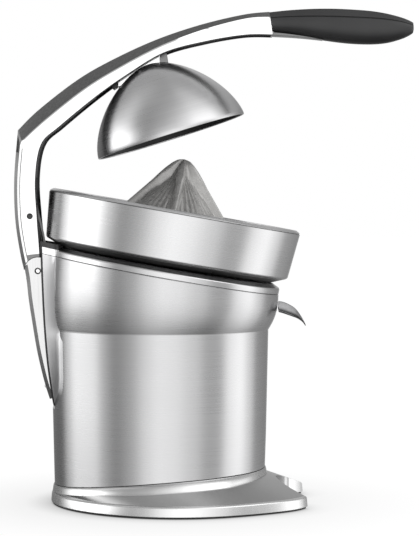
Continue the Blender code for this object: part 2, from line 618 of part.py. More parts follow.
# ---------------------------------------------------------------- lever
ARM_TOP = [(-165.2, 196.2), (-170.6, 220.0), (-174.8, 250.0), (-175.5, 285.0), (-172.6, 327.1),
           (-154.4, 345.0), (-120.1, 371.4), (-89.3, 389.0), (-50.6, 406.6), (-11.0, 419.8),
           (26.8, 428.6), (49.0, 431.0)]
ARM_UNDER = [(-148.6, 200.0), (-149.6, 222.0), (-151.6, 252.0), (-152.7, 286.0), (-147.5, 313.5),
             (-132.5, 328.0), (-101.6, 353.8), (-74.6, 373.2), (-42.4, 392.6), (-6.0, 403.0),
             (28.0, 409.0), (52.0, 409.4)]


def arm_half(x):
    """Half width of the lever arm, narrowing from the hinge to the grip."""
    s = max(0.0, min(1.0, (x + 150.0) / 200.0))
    return mix(ARM_HALF_REAR, ARM_HALF_FRONT, s * s * (3 - 2 * s))


def arm_section(top, low, chamfer, wall, web):
    """Inverted-U section between a point of the top line and one of the underside."""
    top, low = Vector((top[0], 0, top[1])), Vector((low[0], 0, low[1]))
    down = (low - top).normalized()
    half_top, half_low = arm_half(top.x), arm_half(low.x)
    side = Vector((0, 1, 0))
    points = [top - side * (half_top - chamfer), top + side * (half_top - chamfer),
              top + down * chamfer + side * half_top, low + side * half_low,
              low + side * (half_low - wall), top + down * web + side * (half_top - wall)]
    points += [Vector((p.x, -p.y, p.z)) for p in points[:1:-1]]
    return [tuple(p) for p in points]


def dome_profile(radius, count=7):
    """Quarter outline of the dome from rim to top: a superellipse."""
    points = []
    for i in range(count + 1):
        a = math.pi / 2 * i / count
        r = radius * math.cos(a) ** (2 / DOME_POWER)
        h = radius * math.sin(a) ** (2 / DOME_POWER)
        points.append((0.0 if i == count else r, h))
    return points


def make_arm(mats):
    pivot = (ARM_X, 0, ARM_Z)
    tops, lows = smooth_line(ARM_TOP, 2), smooth_line(ARM_UNDER, 2)
    bm = bmesh.new()
    skin(bm, [arm_section(a, b, 4.0, 2.6, 5.0) for a, b in zip(tops, lows)])
    arm = finish("lever_arm", bm, mats["polished"], pivot)
    knuckle_cut = cross_rod("arm_end_cut", KNUCKLE_R, ARM_X, ARM_Z, 40, None, segments=32)
    relief = turned("arm_dome_relief", [(0, -20), (DOME_R + 2, -20)] + dome_profile(DOME_R + 2),
                    None, dome_frame())
    pin_hole = cross_rod("arm_pin_hole", 2.3 + GAP, CROSS_PIN_X, CROSS_PIN_Z, 40, None)
    dome_hole = cross_rod("arm_dome_pin_hole", 2.5 + GAP, DOME_PIN_X, DOME_PIN_Z, 40, None)
    cut(arm, knuckle_cut, relief, pin_hole, dome_hole)

    lug = side_prism("arm_knuckle", [(ARM_X - 9, ARM_Z - 2), (ARM_X - 9, 238), (-168, 262), (-156, 262),
                                     (ARM_X + 3, 236), (ARM_X + 8, ARM_Z + 4), (ARM_X + 8, ARM_Z - 4),
                                     (ARM_X, ARM_Z - 9), (ARM_X - 6, ARM_Z - 7)], 12.0, mats["steel"], pivot)
    cut(lug, cross_rod("lug_pivot_hole", PIVOT_PIN_R + GAP, ARM_X, ARM_Z, 40, None),
        cross_rod("lug_cross_hole", 2.3 + GAP, CROSS_PIN_X, CROSS_PIN_Z, 40, None))
    cross_rod("arm_cross_pin", 2.3, CROSS_PIN_X, CROSS_PIN_Z, ARM_HALF_REAR - 0.5, mats["steel"], pivot)

    for name, first, last in (("arm_cover_rear", 6, 12), ("arm_cover_front", 17, 21)):
        bm = bmesh.new()
        rings = []
        for top, low in list(zip(tops, lows))[first:last + 1]:
            top, low = Vector((top[0], 0, top[1])), Vector((low[0], 0, low[1]))
            up = (top - low).normalized()
            half = arm_half(low.x) - 2.6 - GAP - 0.3
            ring = [low + up * 1.2, low + up * 3.0]
            rings.append([tuple(ring[0] + Vector((0, -half, 0))), tuple(ring[0] + Vector((0, half, 0))),
                          tuple(ring[1] + Vector((0, half, 0))), tuple(ring[1] + Vector((0, -half, 0)))])
        skin(bm, rings)
        finish(name, bm, mats["black"], pivot)


def make_grip(mats):
    """Soft-touch grip, lofted through rounded sections, on a steel core."""
    pivot = (ARM_X, 0, ARM_Z)
    tops, lows = smooth_line(GRIP_TOP, 2), smooth_line(GRIP_LOW, 2)
    rings = []
    count = 16
    for n, (a, b) in enumerate(zip(tops, lows)):
        s = n / (len(tops) - 1)
        half = mix(13.0, 16.0, math.sin(math.pi * min(1.0, s * 1.15) / 2)) * (1 if s < 0.9 else 0.8)
        a, b = Vector((a[0], 0, a[1])), Vector((b[0], 0, b[1]))
        middle, reach = (a + b) / 2, (a - b) / 2
        ring = []
        for i in range(count):
            angle = 2 * math.pi * i / count
            c, d = math.cos(angle), math.sin(angle)
            c, d = (math.copysign(abs(v) ** GRIP_ROUNDNESS, v) for v in (c, d))
            ring.append(tuple(middle + reach * d + Vector((0, half * c, 0))))
        rings.append(ring)
    rings.append([(GRIP_TIP_X, 0, GRIP_TIP_Z)])
    bm = bmesh.new()
    skin(bm, rings, caps=False)
    bm.faces.new(list(bm.verts)[:count])
    grip = finish("handle_grip", bm, mats["soft_black"], pivot)
    core_frame = Matrix.Translation((30.0, 0, 418.6)) @ Matrix.Rotation(math.radians(89.5), 4, "Y")
    cut(grip, rod("grip_bore", GRIP_CORE_R + GAP, -5, GRIP_CORE_L + 1, None, core_frame))
    rod("grip_core", GRIP_CORE_R, 0, GRIP_CORE_L, mats["steel"], core_frame, pivot)


def make_rear_link(mats):
    """Channel-shaped rear link that carries the arm's pivot."""
    pivot = (LINK_X, 0, LINK_Z)
    outer = smooth_line([(-164.9, 195.4), (-163.0, 178.0), (-159.8, 157.0), (-155.6, 132.0),
                         (-149.8, 107.0), (-144.6, 90.0)], 3)
    inner = smooth_line([(-141.6, 92.0), (-141.4, 108.0), (-143.2, 140.0), (-144.6, 175.0),
                         (-144.2, 193.0)], 2)
    boss = [(ARM_X + (KNUCKLE_R - 0.4) * math.cos(a), ARM_Z + (KNUCKLE_R - 0.4) * math.sin(a))
            for a in (math.radians(-45 + 18 * i) for i in range(16))]
    link = side_prism("rear_link", outer + inner + boss, ARM_HALF_REAR, mats["polished"], pivot)
    web = [(x + 2.8, z) for x, z in outer if z > 114]
    outline = [(-170.0, 240.0), (-170.0, 196.2)] + web + [(-143.9, 112.0), (-120.0, 112.0), (-120.0, 240.0)]
    hollow = side_prism("link_hollow", outline, ARM_HALF_REAR - 3.0, None)
    pins = [cross_rod("link_arm_hole", PIVOT_PIN_R + GAP, ARM_X, ARM_Z, 40, None),
            cross_rod("link_low_hole", PIVOT_PIN_R + GAP, LINK_X, LINK_Z, 40, None)]
    cut(link, hollow, *pins)
    cross_rod("link_pivot_pin", PIVOT_PIN_R, LINK_X, LINK_Z, 26.5, mats["steel"])
    cross_rod("arm_pivot_pin", PIVOT_PIN_R, ARM_X, ARM_Z, ARM_HALF_REAR - 0.2, mats["steel"], pivot)


def make_dome(mats):
    frame, pivot = dome_frame(), (DOME_PIN_X, 0, DOME_PIN_Z)
    outer = dome_profile(DOME_R)
    inner = dome_profile(DOME_R - DOME_T)
    turned("press_dome", outer[::-1] + inner, mats["brushed"], frame, pivot)
    gap = DOME_T + GAP
    liner = dome_profile(DOME_R - gap)[::-1] + dome_profile(DOME_R - gap - LINER_T)
    turned("dome_liner", liner, mats["grey"], frame, pivot)

    saddle = side_prism("dome_saddle", [(DOME_PIN_X - 6, DOME_PIN_Z + 1), (DOME_PIN_X + 2, DOME_PIN_Z + 5),
                                        (-47.0, 394.0), (-46.0, 375.0), (-84.0, 364.0), (-84.0, 370.0)],
                        9.0, mats["steel"], pivot)
    crown = turned("saddle_crown_cut", [(0, -20), (DOME_R + GAP, -20)] + dome_profile(DOME_R + GAP),
                   None, frame)
    cut(saddle, crown, cross_rod("saddle_hole", 2.5 + GAP, DOME_PIN_X, DOME_PIN_Z, 40, None))
    half = arm_half(DOME_PIN_X) - 0.6
    cross_rod("dome_pivot_pin", 2.5, DOME_PIN_X, DOME_PIN_Z, half, mats["steel"], (ARM_X, 0, ARM_Z))


def main():
    for obj in list(bpy.data.objects):
        bpy.data.objects.remove(obj)
    mats = make_materials()
    make_housing(mats)
    make_pod(mats)
    make_collar(mats)
    make_deck(mats)
    make_base(mats)
    make_gland(mats, make_underside(mats))
    make_bowl(mats)
    make_reamer(mats)
    make_gears(mats)
    make_drive(mats)
    make_spout(mats)
    make_arm(mats)
    make_grip(mats)
    make_rear_link(mats)
    make_dome(mats)


main()
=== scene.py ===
from math import atan2, cos, degrees, exp, hypot, pi, radians, sin, sqrt

import bmesh
import bpy
from mathutils import Matrix, Vector


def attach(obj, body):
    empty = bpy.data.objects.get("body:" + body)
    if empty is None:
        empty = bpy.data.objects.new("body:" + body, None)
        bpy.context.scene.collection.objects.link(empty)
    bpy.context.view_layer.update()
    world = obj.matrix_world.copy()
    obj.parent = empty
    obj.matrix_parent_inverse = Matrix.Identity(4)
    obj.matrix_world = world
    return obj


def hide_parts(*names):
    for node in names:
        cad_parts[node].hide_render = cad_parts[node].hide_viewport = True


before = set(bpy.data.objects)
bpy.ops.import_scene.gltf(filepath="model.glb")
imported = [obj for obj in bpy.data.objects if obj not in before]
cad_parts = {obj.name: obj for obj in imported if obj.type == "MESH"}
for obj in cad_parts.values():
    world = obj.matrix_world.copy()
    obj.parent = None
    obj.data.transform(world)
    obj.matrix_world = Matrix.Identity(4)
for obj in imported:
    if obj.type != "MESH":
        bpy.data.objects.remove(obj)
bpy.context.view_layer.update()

# Lever citrus press juicer: the finished look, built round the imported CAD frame.
# Shapes are drawn in millimetres in the shared frame: +X spout and handle, +Z up.

# ---- dimensions shared with the CAD (mm)
MM = 0.001
GAP = 0.3
ROUND = 144  # segments of the large turned pieces
BODY_X = -47.3
BODY_R_BASE, BODY_R_WAIST, WAIST_Z = 92.7, 95.6, 152
SHELL_T = 1.6
JUNCTION_REAR_Z, JUNCTION_FRONT_Z, JUNCTION_SIDE_RISE = 16.7, 31.2, 3.5
TILT = radians(10)
RIM_X, RIM_Z = -33.9, 255.2
BOWL_R_TOP, BOWL_R_BOTTOM, BOWL_H = 111.7, 107.4, 40.2
BOWL_NECK_R, BOWL_NECK_T = 95, -45.9
COLLAR_R, COLLAR_TOP_T, COLLAR_EDGE_T, COLLAR_BOTTOM_T = 102.3, -47, -50.4, -55.3
LUG_TOP_T, LUG_SHADE_CAP_T = -49.6, -45.2
BASE_X, RIM_BOTTOM_Z, RIM_TOP_Z = -30, 1.5, 10.5
NOTCH_X, NOTCH_R = 108, 53
LINK_X, LINK_Z, LINK_PIN_HALF = -145, 104, 17.4
ARM_X, ARM_Z = -152.9, 203.9
ARM_HALF_REAR, ARM_HALF_FRONT = 21, 13
KNUCKLE_R = 12.3
CROSS_PIN_X, CROSS_PIN_Z, CROSS_PIN_R = -161.7, 251.4, 2.3
PIVOT_PIN_R = 2.6
SLOT_HALF, SLOT_WALL = 22, 24
POCKET_X = -130
DOME_X, DOME_Z, DOME_R = -37.1, 321.5, 67.1
DOME_TILT = radians(-17.4)
DOME_POWER = 1.6
DOME_PIN_X, DOME_PIN_Z, DOME_PIN_R = -69.5, 386, 2.5
SPOUT_PIN_X, SPOUT_PIN_Z = 61.5, 170.5
SPOUT_SWING = 30.5  # degrees, just past the flap's upper limit
OUTLET_X, OUTLET_R = 84, 9
SIDE_X, SIDE_Z, SIDE_AWAY = -3.5, 259.6, 1760  # where the side outlines and the camera look from

BOWL_FRAME = Matrix.Translation((RIM_X, 0, RIM_Z)) @ Matrix.Rotation(TILT, 4, "Y")
DOME_FRAME = Matrix.Translation((DOME_X, 0, DOME_Z)) @ Matrix.Rotation(DOME_TILT, 4, "Y")
BODY_FRAME = Matrix.Translation((BODY_X, 0, 0))


# ---- materials
NOISE_LOW, NOISE_HIGH = 0.3, 0.7  # the range that most of a noise value lies in
SMUDGE, PATCH = 14, 22  # broad variations on metal and on plastic, per metre


def feed(tree, node, inputs):
    """Give each input of a node its value, or link it where that value is a socket."""
    for key, value in inputs.items():
        if isinstance(value, bpy.types.NodeSocket):
            tree.links.new(value, node.inputs[key])
        else:
            node.inputs[key].default_value = value


def add_node(tree, kind, inputs=None, **settings):
    made = tree.nodes.new(kind)
    for key, value in settings.items():
        setattr(made, key, value)
    feed(tree, made, inputs or {})
    return made


def noise(tree, coords, scale, detail=2, rough=0.6, w=None):
    """Noise over stretched coordinates, in four dimensions where `w` is given."""
    stretched = add_node(tree, "ShaderNodeMapping", {"Vector": coords, "Scale": scale}).outputs["Vector"]
    inputs = {"Vector": stretched, "Scale": 1, "Detail": detail, "Roughness": rough}
    if w is not None:
        inputs["W"] = w
    made = add_node(tree, "ShaderNodeTexNoise", inputs, noise_dimensions="3D" if w is None else "4D")
    return made.outputs["Fac"]


def span(tree, value, low, high, start=NOISE_LOW, end=NOISE_HIGH):
    """Map a value, by default a noise value, onto a range."""
    return add_node(tree, "ShaderNodeMapRange", {"Value": value, "From Min": start, "From Max": end,
                                                 "To Min": low, "To Max": high}).outputs["Result"]


def two_tone(tree, value, dark, light):
    made = add_node(tree, "ShaderNodeValToRGB", {"Fac": value})
    for element, colour, position in zip(made.color_ramp.elements, (dark, light), (NOISE_LOW, NOISE_HIGH)):
        element.color = (*colour, 1)
        element.position = position
    return made.outputs["Color"]


def bump(tree, shader, value, distance):
    made = add_node(tree, "ShaderNodeBump", {"Height": value, "Distance": distance, "Strength": 1})
    feed(tree, shader, {"Normal": made.outputs["Normal"]})


def shader_of(name):
    mat = bpy.data.materials.new(name)
    mat.use_nodes = True
    tree = mat.node_tree
    coords = tree.nodes.new("ShaderNodeTexCoord").outputs["Object"]
    return mat, tree, tree.nodes["Principled BSDF"], coords


def greys(dark, light, blue=0):
    """Dark and light tone of a grey with a little more blue."""
    return (dark, dark, dark + blue), (light, light, light + blue)


def metal(name, tones, rough, grain, bump_m=0, anisotropic=0, radial=False, metallic=1):
    """Metal with grain lines and broad smudges.

    `grain` scales the object coordinates of the grain noise, per metre, so that a small
    number runs along the lines and a large one across them.
    """
    mat, tree, shader, coords = shader_of(name)
    from_axis = None
    if radial:
        flat = add_node(tree, "ShaderNodeVectorMath", {0: coords, 1: (grain[2], grain[2], 0)},
                        operation="MULTIPLY")
        from_axis = add_node(tree, "ShaderNodeVectorMath", {0: flat.outputs["Vector"]},
                             operation="LENGTH").outputs["Value"]
        tangent = add_node(tree, "ShaderNodeTangent", direction_type="RADIAL", axis="Z")
        feed(tree, shader, {"Tangent": tangent.outputs["Tangent"], "Anisotropic Rotation": 0.25})
    lines = noise(tree, coords, grain, 4, 0.65, from_axis)
    broad = noise(tree, coords, (SMUDGE, SMUDGE, SMUDGE))
    uneven = add_node(tree, "ShaderNodeMath",
                      {0: span(tree, lines, *rough), 1: span(tree, broad, -0.02, 0.02)}, operation="ADD")
    feed(tree, shader, {"Metallic": metallic, "Anisotropic": anisotropic,
                        "Roughness": uneven.outputs["Value"], "Base Color": two_tone(tree, lines, *tones)})
    if bump_m:
        bump(tree, shader, lines, bump_m)
    return mat


def plastic(name, tones, rough, scale, bump_m):
    """Moulded plastic or rubber: fine spark-eroded texture, slight tone variation."""
    mat, tree, shader, coords = shader_of(name)
    fine = noise(tree, coords, (scale, scale, scale), 3, 0.5)
    broad = noise(tree, coords, (PATCH, PATCH, PATCH))
    feed(tree, shader, {"Base Color": two_tone(tree, broad, *tones), "Roughness": span(tree, fine, *rough)})
    bump(tree, shader, fine, bump_m)
    return mat


BRUSHED = metal("brushed_round", greys(0.59, 0.64, 0.005), (0.25, 0.32), (7, 7, 1700), 5e-6, 0.7, True)
BRUSHED_BOWL = metal("brushed_bowl", greys(0.7, 0.75, 0.005), (0.25, 0.32), (5, 5, 900), 4e-6, 0.7, True)
BRUSHED_DOME = metal("brushed_dome", greys(0.61, 0.67, 0.005), (0.27, 0.33), (9, 9, 1500), 4e-6, 0.3, True)
BRUSHED_FLAT = metal("brushed_upright", greys(0.5, 0.56, 0.005), (0.27, 0.34), (1500, 1500, 14), 5e-6)
COLLAR_STEEL = metal("collar_polish", greys(0.62, 0.68, 0.005), (0.22, 0.29), (9, 9, 900), 4e-6, 0.5, True)
SATIN_ALLOY = metal("satin_alloy", greys(0.77, 0.79), (0.25, 0.28), (400, 400, 60))
# Darker copy of the satin alloy for the base's skirt: painted shade standing in for the skirt's dark
# reflection.
SKIRT_SHADE = metal("skirt_painted_shade", greys(0.46, 0.48), (0.3, 0.33), (400, 400, 60))
ARM_ALLOY = metal("arm_alloy", greys(0.84, 0.9), (0.15, 0.22), (60, 900, 60), 3e-6)
LINK_ALLOY = metal("link_alloy", greys(0.64, 0.74), (0.2, 0.28), (400, 400, 30), 3e-6)
# Steel painted darker than the other steel: painted shade standing in for the spout's dark reflections.
SPOUT_SHADED_STEEL = metal("spout_steel_painted_shade", greys(0.28, 0.35, 0.005), (0.16, 0.24), (300, 40, 300), 3e-6)
# Darker satin for bevels and edge bands: painted shade standing in for their dark reflections.
BEVEL_SHADE = metal("arm_bevel_painted_shade", greys(0.18, 0.25), (0.28, 0.36), (700, 700, 700), 1e-5)
# Darker still, for grooves, creases and the bowl's underside: painted shade.
EDGE_SHADE = metal("arm_edge_painted_shade", greys(0.13, 0.17), (0.28, 0.36), (300, 300, 300), 5e-6)
# Near black, for undersides, gaps and tops under other parts: painted shade.
UNDER_SHADE = metal("dark_painted_shade", greys(0.035, 0.05, 0.001), (0.32, 0.4), (300, 300, 300), 5e-6)
STEEL = metal("plain_steel", greys(0.5, 0.6, 0.01), (0.2, 0.3), (260, 260, 260), 4e-6)
PAN_STEEL = metal("pan_steel", greys(0.62, 0.7, 0.005), (0.16, 0.24), (8, 8, 1200), 6e-6, 0.5, True)
DARK_STEEL = metal("dark_pin_steel", greys(0.05, 0.09), (0.3, 0.4), (260, 260, 260), 4e-6)
REAMER_GREY = metal("reamer_grey", ((0.42, 0.415, 0.405), (0.52, 0.515, 0.505)), (0.22, 0.32),
                    (120, 120, 120), 4e-6, metallic=0.4)
SOFT_BLACK = plastic("soft_touch_black", greys(0.03, 0.042, 0.001), (0.4, 0.5), 2600, 3e-5)
BLACK = plastic("black_plastic", greys(0.012, 0.022, 0.001), (0.38, 0.52), 1800, 2e-5)
# Near black: painted shade in the gap under the dome's rim.
LINER_SHADE = plastic("liner_painted_shade", greys(0.01, 0.018, 0.001), (0.4, 0.55), 1200, 2e-5)
RUBBER = plastic("foot_rubber", greys(0.014, 0.024), (0.7, 0.85), 2200, 4e-5)
GEAR_WHITE = plastic("gear_plastic", ((0.7, 0.69, 0.64), (0.78, 0.77, 0.72)), (0.35, 0.5), 900, 1e-5)
BOARD = plastic("circuit_board", ((0.012, 0.1, 0.035), (0.02, 0.15, 0.055)), (0.3, 0.45), 700, 3e-5)


# ---- mesh helpers
def mix(a, b, s):
    return a + (b - a) * s


def clamp(value):
    return max(0, min(1, value))


def circle(radius, count=ROUND, x=0, y=0):
    turn = [2 * pi * i / count for i in range(count)]
    return [(x + radius * cos(a), y + radius * sin(a)) for a in turn]


def arc(cx, cy, radius, start, end, steps):
    """Points of an arc, angles in degrees."""
    turn = [radians(mix(start, end, i / steps)) for i in range(steps + 1)]
    return [(cx + radius * cos(a), cy + radius * sin(a)) for a in turn]


def smooth_line(points, steps):
    """Catmull-Rom curve through points, with `steps` samples for each span."""
    ends = [points[0], *points, points[-1]]
    line = []
    for i in range(1, len(ends) - 2):
        p0, p1, p2, p3 = (Vector(p) for p in ends[i - 1:i + 3])
        for k in range(steps):
            s = k / steps
            line.append(tuple(0.5 * (2 * p1 + (p2 - p0) * s
                                     + (2 * p0 - 5 * p1 + 4 * p2 - p3) * s * s
                                     + (3 * p1 - p0 - 3 * p2 + p3) * s ** 3)))
    return line + [tuple(points[-1])]


def skin(rings, closed=False, caps=True):
    """Faces between rings of equal length; a one-point ring makes a fan."""
    bm = bmesh.new()
    made = [[bm.verts.new(p) for p in ring] for ring in rings]
    pairs = list(zip(made, made[1:])) + ([(made[-1], made[0])] if closed else [])
    for low, high in pairs:
        count = max(len(low), len(high))
        for i in range(count):
            j = (i + 1) % count
            corners = list(dict.fromkeys([low[i % len(low)], low[j % len(low)],
                                          high[j % len(high)], high[i % len(high)]]))
            if len(corners) > 2:
                bm.faces.new(corners)
    if caps and not closed:
        for ring in (made[0], made[-1]):
            if len(ring) > 2:
                bm.faces.new(ring)
    return bm


def turned(profile, count=ROUND, centre=(0, 0)):
    """Solid of revolution from a closed outline of (radius, height)."""
    rings = [[(*centre, t)] if r < 1e-6 else [(x, y, t) for x, y in circle(r, count, *centre)]
             for r, t in profile]
    on_axis = profile[0][0] < 1e-6 and profile[-1][0] < 1e-6
    return skin(rings, closed=not on_axis, caps=False)


def rod(radius, low, high, count=32, centre=(0, 0), edge=0):
    outline = [(0, low), (radius, low), (radius, high), (0, high)]
    if edge:
        outline = [(0, low), (radius - edge, low), (radius, low + edge), (radius, high - edge),
                   (radius - edge, high), (0, high)]
    return turned(outline, count, centre)


def prism(outline, low, high):
    return skin([[(x, y, low) for x, y in outline], [(x, y, high) for x, y in outline]])


def side_prism(outline, half):
    return skin([[(x, -half, z) for x, z in outline], [(x, half, z) for x, z in outline]])


def box(low, high):
    (x0, y0, z0), (x1, y1, z1) = low, high
    return prism([(x0, y0), (x1, y0), (x1, y1), (x0, y1)], z0, z1)


def mirrored(points):
    """The points in reverse order on the other side of the middle plane."""
    return [(p.x, -p.y, p.z) for p in points[::-1]]


def middle(point):
    """Vector to an (x, z) point of the middle plane."""
    return Vector((point[0], 0, point[1]))


def across(x, z):
    """Frame whose Z axis runs along the row's Y through (x, z)."""
    return Matrix.Translation((x, 0, z)) @ Matrix.Rotation(pi / 2, 4, "X")


def raw_object(name, bm, place=Matrix()):
    bmesh.ops.recalc_face_normals(bm, faces=bm.faces[:])
    bm.transform(Matrix.Scale(MM, 4))
    mesh = bpy.data.meshes.new(name)
    bm.to_mesh(mesh)
    bm.free()
    obj = bpy.data.objects.new(name, mesh)
    bpy.context.scene.collection.objects.link(obj)
    matrix = place.copy()
    matrix.translation = place.translation * MM
    obj.matrix_world = matrix
    return obj


def freeze(obj):
    """Replace an object's mesh by the result of its modifiers."""
    bpy.context.view_layer.update()
    graph = bpy.context.evaluated_depsgraph_get()
    made = bpy.data.meshes.new_from_object(obj.evaluated_get(graph))
    obj.modifiers.clear()
    obj.data = made


def mesh_back(obj):
    """Delete an object and return its mesh, in millimetres."""
    bm = bmesh.new()
    bm.from_mesh(obj.data)
    bm.transform(Matrix.Scale(1 / MM, 4))
    bpy.data.objects.remove(obj)
    return bm


def bevelled(obj, width, steps, angle):
    mod = obj.modifiers.new("edges", "BEVEL")
    mod.width = width * MM
    mod.segments = steps
    mod.limit_method = "ANGLE"
    mod.angle_limit = radians(angle)
    mod.use_clamp_overlap = True
    freeze(obj)


def out(bm, where=Matrix()):
    return bm, where, "DIFFERENCE"


def apply_cut(obj, cutter, where, operation):
    other = raw_object("cutter", cutter, where)
    mod = obj.modifiers.new("cut", "BOOLEAN")
    mod.operation = operation
    mod.object = other
    mod.solver = "EXACT"
    freeze(obj)
    bpy.data.objects.remove(other)


def paint(obj, mat, chosen):
    """Second material, in this script always a painted shade, on the faces for which chosen(centre, normal)
    holds, in millimetres.
    """
    obj.data.materials.append(mat)
    index = len(obj.data.materials) - 1
    for face in obj.data.polygons:
        if chosen(face.center / MM, face.normal):
            face.material_index = index


def piece(name, bm, mats, body, nodes, place=Matrix(), bevel=None, cuts=(), edge=None, angle=32,
          weighted=True, shade_paints=()):
    """A visible piece.

    `mats` is a material, or a tuple of materials that the drawn faces point into. `bevel` (width,
    steps) rounds the drawn edges, then `cuts` change the shape, and `edge` (width, steps) breaks
    every edge that is still sharp.
    """
    obj = raw_object(name, bm, place)
    if bevel:
        bevelled(obj, *bevel, 28)
    for cut in cuts:
        apply_cut(obj, *cut)
    if edge:
        bevelled(obj, *edge, 38)
    for mat in mats if isinstance(mats, tuple) else (mats,):
        obj.data.materials.append(mat)
    for mat, chosen in shade_paints:
        paint(obj, mat, chosen)
    obj.data.shade_smooth()
    obj.data.set_sharp_from_angle(angle=radians(angle))
    if weighted:
        mod = obj.modifiers.new("normals", "WEIGHTED_NORMAL")
        mod.keep_sharp = True
        freeze(obj)
    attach(obj, body)
    if nodes:
        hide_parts(*nodes)


# ---- body
def junction_z(x, y):
    s = (x - (BODY_X - BODY_R_BASE)) / (2 * BODY_R_BASE)
    return mix(JUNCTION_REAR_Z, JUNCTION_FRONT_Z, s) + JUNCTION_SIDE_RISE * (y / BODY_R_BASE) ** 2


def flare(s):
    """(radius, frame) of the flared upper body, from the waist at 0 to the collar seam at 1."""
    top = BOWL_FRAME @ Vector((0, 0, COLLAR_BOTTOM_T - GAP))
    radius = mix(BODY_R_WAIST, COLLAR_R, 1 - (1 - s) ** 2.6)
    place = Matrix.Translation((mix(BODY_X, top.x, s), 0, mix(WAIST_Z, top.z, s)))
    return radius, place @ Matrix.Rotation(TILT * s, 4, "Y")


def wall_radius(z):
    return mix(BODY_R_BASE, BODY_R_WAIST, (z - JUNCTION_REAR_Z) / (WAIST_Z - JUNCTION_REAR_Z))


def body_rings(inset, low_edge=0, top_edge=0):
    """Rings of the body from the base seam to the collar seam, moved in by `inset`."""
    rings = []
    corner = [(low_edge, 0), (low_edge * 0.3, low_edge * 0.35), (0, low_edge)]
    for back, rise in corner if low_edge else corner[:1]:
        ring = circle(BODY_R_BASE - inset - back, ROUND, BODY_X)
        rings.append([(x, y, junction_z(x, y) + GAP + rise) for x, y in ring])
    for z in (60, 110, WAIST_Z):
        rings.append([(x, y, z) for x, y in circle(wall_radius(z) - inset, ROUND, BODY_X)])
    shares = [0.03, 0.07, 0.12, 0.18, 0.26, 0.34, 0.42, 0.53, 0.65, 0.82] + ([0.99] if top_edge else [])
    for s, back in [(s, 0) for s in shares] + [(1, top_edge)]:
        radius, place = flare(s)
        rings.append([place @ Vector((x, y, 0)) for x, y in circle(radius - inset - back)])
    return rings


def body_block(inset):
    """The body without its hollow, down to the ground."""
    rings = body_rings(inset)
    return skin([[(x, y, 0) for x, y, z in rings[0]]] + rings)


def make_housing():
    shell = skin(body_rings(0, 0.5, 0.35) + body_rings(SHELL_T)[::-1], closed=True)
    shell.transform(Matrix.Translation((-BODY_X, 0, 0)))
    half = SLOT_HALF + 2.3
    piece("housing_shell_skin", shell, BRUSHED, "root", ["housing_shell"], BODY_FRAME,
          cuts=[out(box((-160, -half, 83.7), (-110, half, 260))),
                out(box((85, -7, -69), (125, 7, -61.4)), BOWL_FRAME)])


def rear_surface(z, y):
    """X of the body's rear surface at a height and a distance from the middle plane."""
    radius, cx = wall_radius(z), BODY_X
    if z > WAIST_Z:
        radius, place = min((flare(k / 40) for k in range(41)),
                            key=lambda f: abs((f[1] @ Vector((-f[0], 0, 0))).z - z))
        cx = place.translation.x
    return cx - sqrt(radius ** 2 - y ** 2)


POD_REAR = smooth_line([(-139.3, 86), (-141.3, 97), (-145.2, 125), (-148, 160), (-149.6, 195), (-150.8, 232),
                        (-151, 240)], 8)
POD_WIDTH = [(84, 30), (98, 41), (112, 43), (151, 43.5), (178, 46.5), (200, 43), (222, 38), (245, 33)]


def along(marks, value):
    """Value of a piecewise-linear table of (position, value)."""
    for (a, va), (b, vb) in zip(marks, marks[1:]):
        if value <= b:
            return mix(va, vb, max(0, (value - a) / (b - a)))
    return marks[-1][1]


def pod_rear(z):
    return along([(pz, px) for px, pz in POD_REAR], z)


def cheek_ring(z, side):
    """Section of one cheek of the hinge pod: rounded rear edge, slanted face, fillet onto the body."""
    k = max(0.03, 1 - clamp((112 - z) / 26) ** 3) ** 0.4  # fades the cheek out at its foot
    wide = SLOT_HALF + (along(POD_WIDTH, z) - SLOT_HALF) * k
    lift = 1.5 * clamp((156 - z) / 12) * k
    bury = 2.4 * clamp((z - 147) / 6)
    rear = min(pod_rear(z), rear_surface(z, SLOT_HALF) - 0.5)
    nose = mix(0.35, 1, k)
    face_x, face_y = rear + 2 * nose, SLOT_HALF + 4.4 * nose
    end_x, end_y = rear_surface(z, wide) - lift + 0.15 * bury, max(wide, face_y + 0.3)
    outline = [(rear + 1.2 * nose, SLOT_HALF), (rear + 0.35 * nose, SLOT_HALF + 0.5 * nose),
               (rear, SLOT_HALF + 1.4 * nose), (rear + 0.5 * nose, SLOT_HALF + 2.8 * nose), (face_x, face_y)]
    for s in (0.25, 0.5, 0.75):
        bulge = 1.8 * s * (1 - s) * k
        outline.append((mix(face_x, end_x, s) + 0.75 * bulge, mix(face_y, end_y, s) - 0.5 * bulge))
    outline.append((end_x, end_y))
    for step, part in ((1.2, 0.62), (2.8, 0.28), (4.6, 0.07), (6, -0.2)):
        y = end_y + step * k
        outline.append((rear_surface(z, y) - lift * part + bury, y))
    outline += [(rear_surface(z, end_y + back) + 0.9 + bury, end_y + back) for back in (6 * k, 0)]
    outline += [(rear_surface(z, SLOT_WALL) + 0.9, SLOT_WALL), (POCKET_X - 1, SLOT_WALL),
                (POCKET_X - 1, SLOT_HALF)]
    return [(x, side * y, z) for x, y in outline]


def sliced(bm, level, away):
    """Closed mesh cut at a level of the bowl frame, less what is above it (away 1) or below it (-1)."""
    made = bmesh.ops.bisect_plane(bm, geom=bm.verts[:] + bm.edges[:] + bm.faces[:], clear_outer=True,
                                  plane_co=BOWL_FRAME @ Vector((0, 0, level)),
                                  plane_no=BOWL_FRAME.to_3x3() @ Vector((0, 0, away)))
    edges = [e for e in made["geom_cut"] if isinstance(e, bmesh.types.BMEdge)]
    bmesh.ops.edgeloop_fill(bm, edges=edges)
    return bm


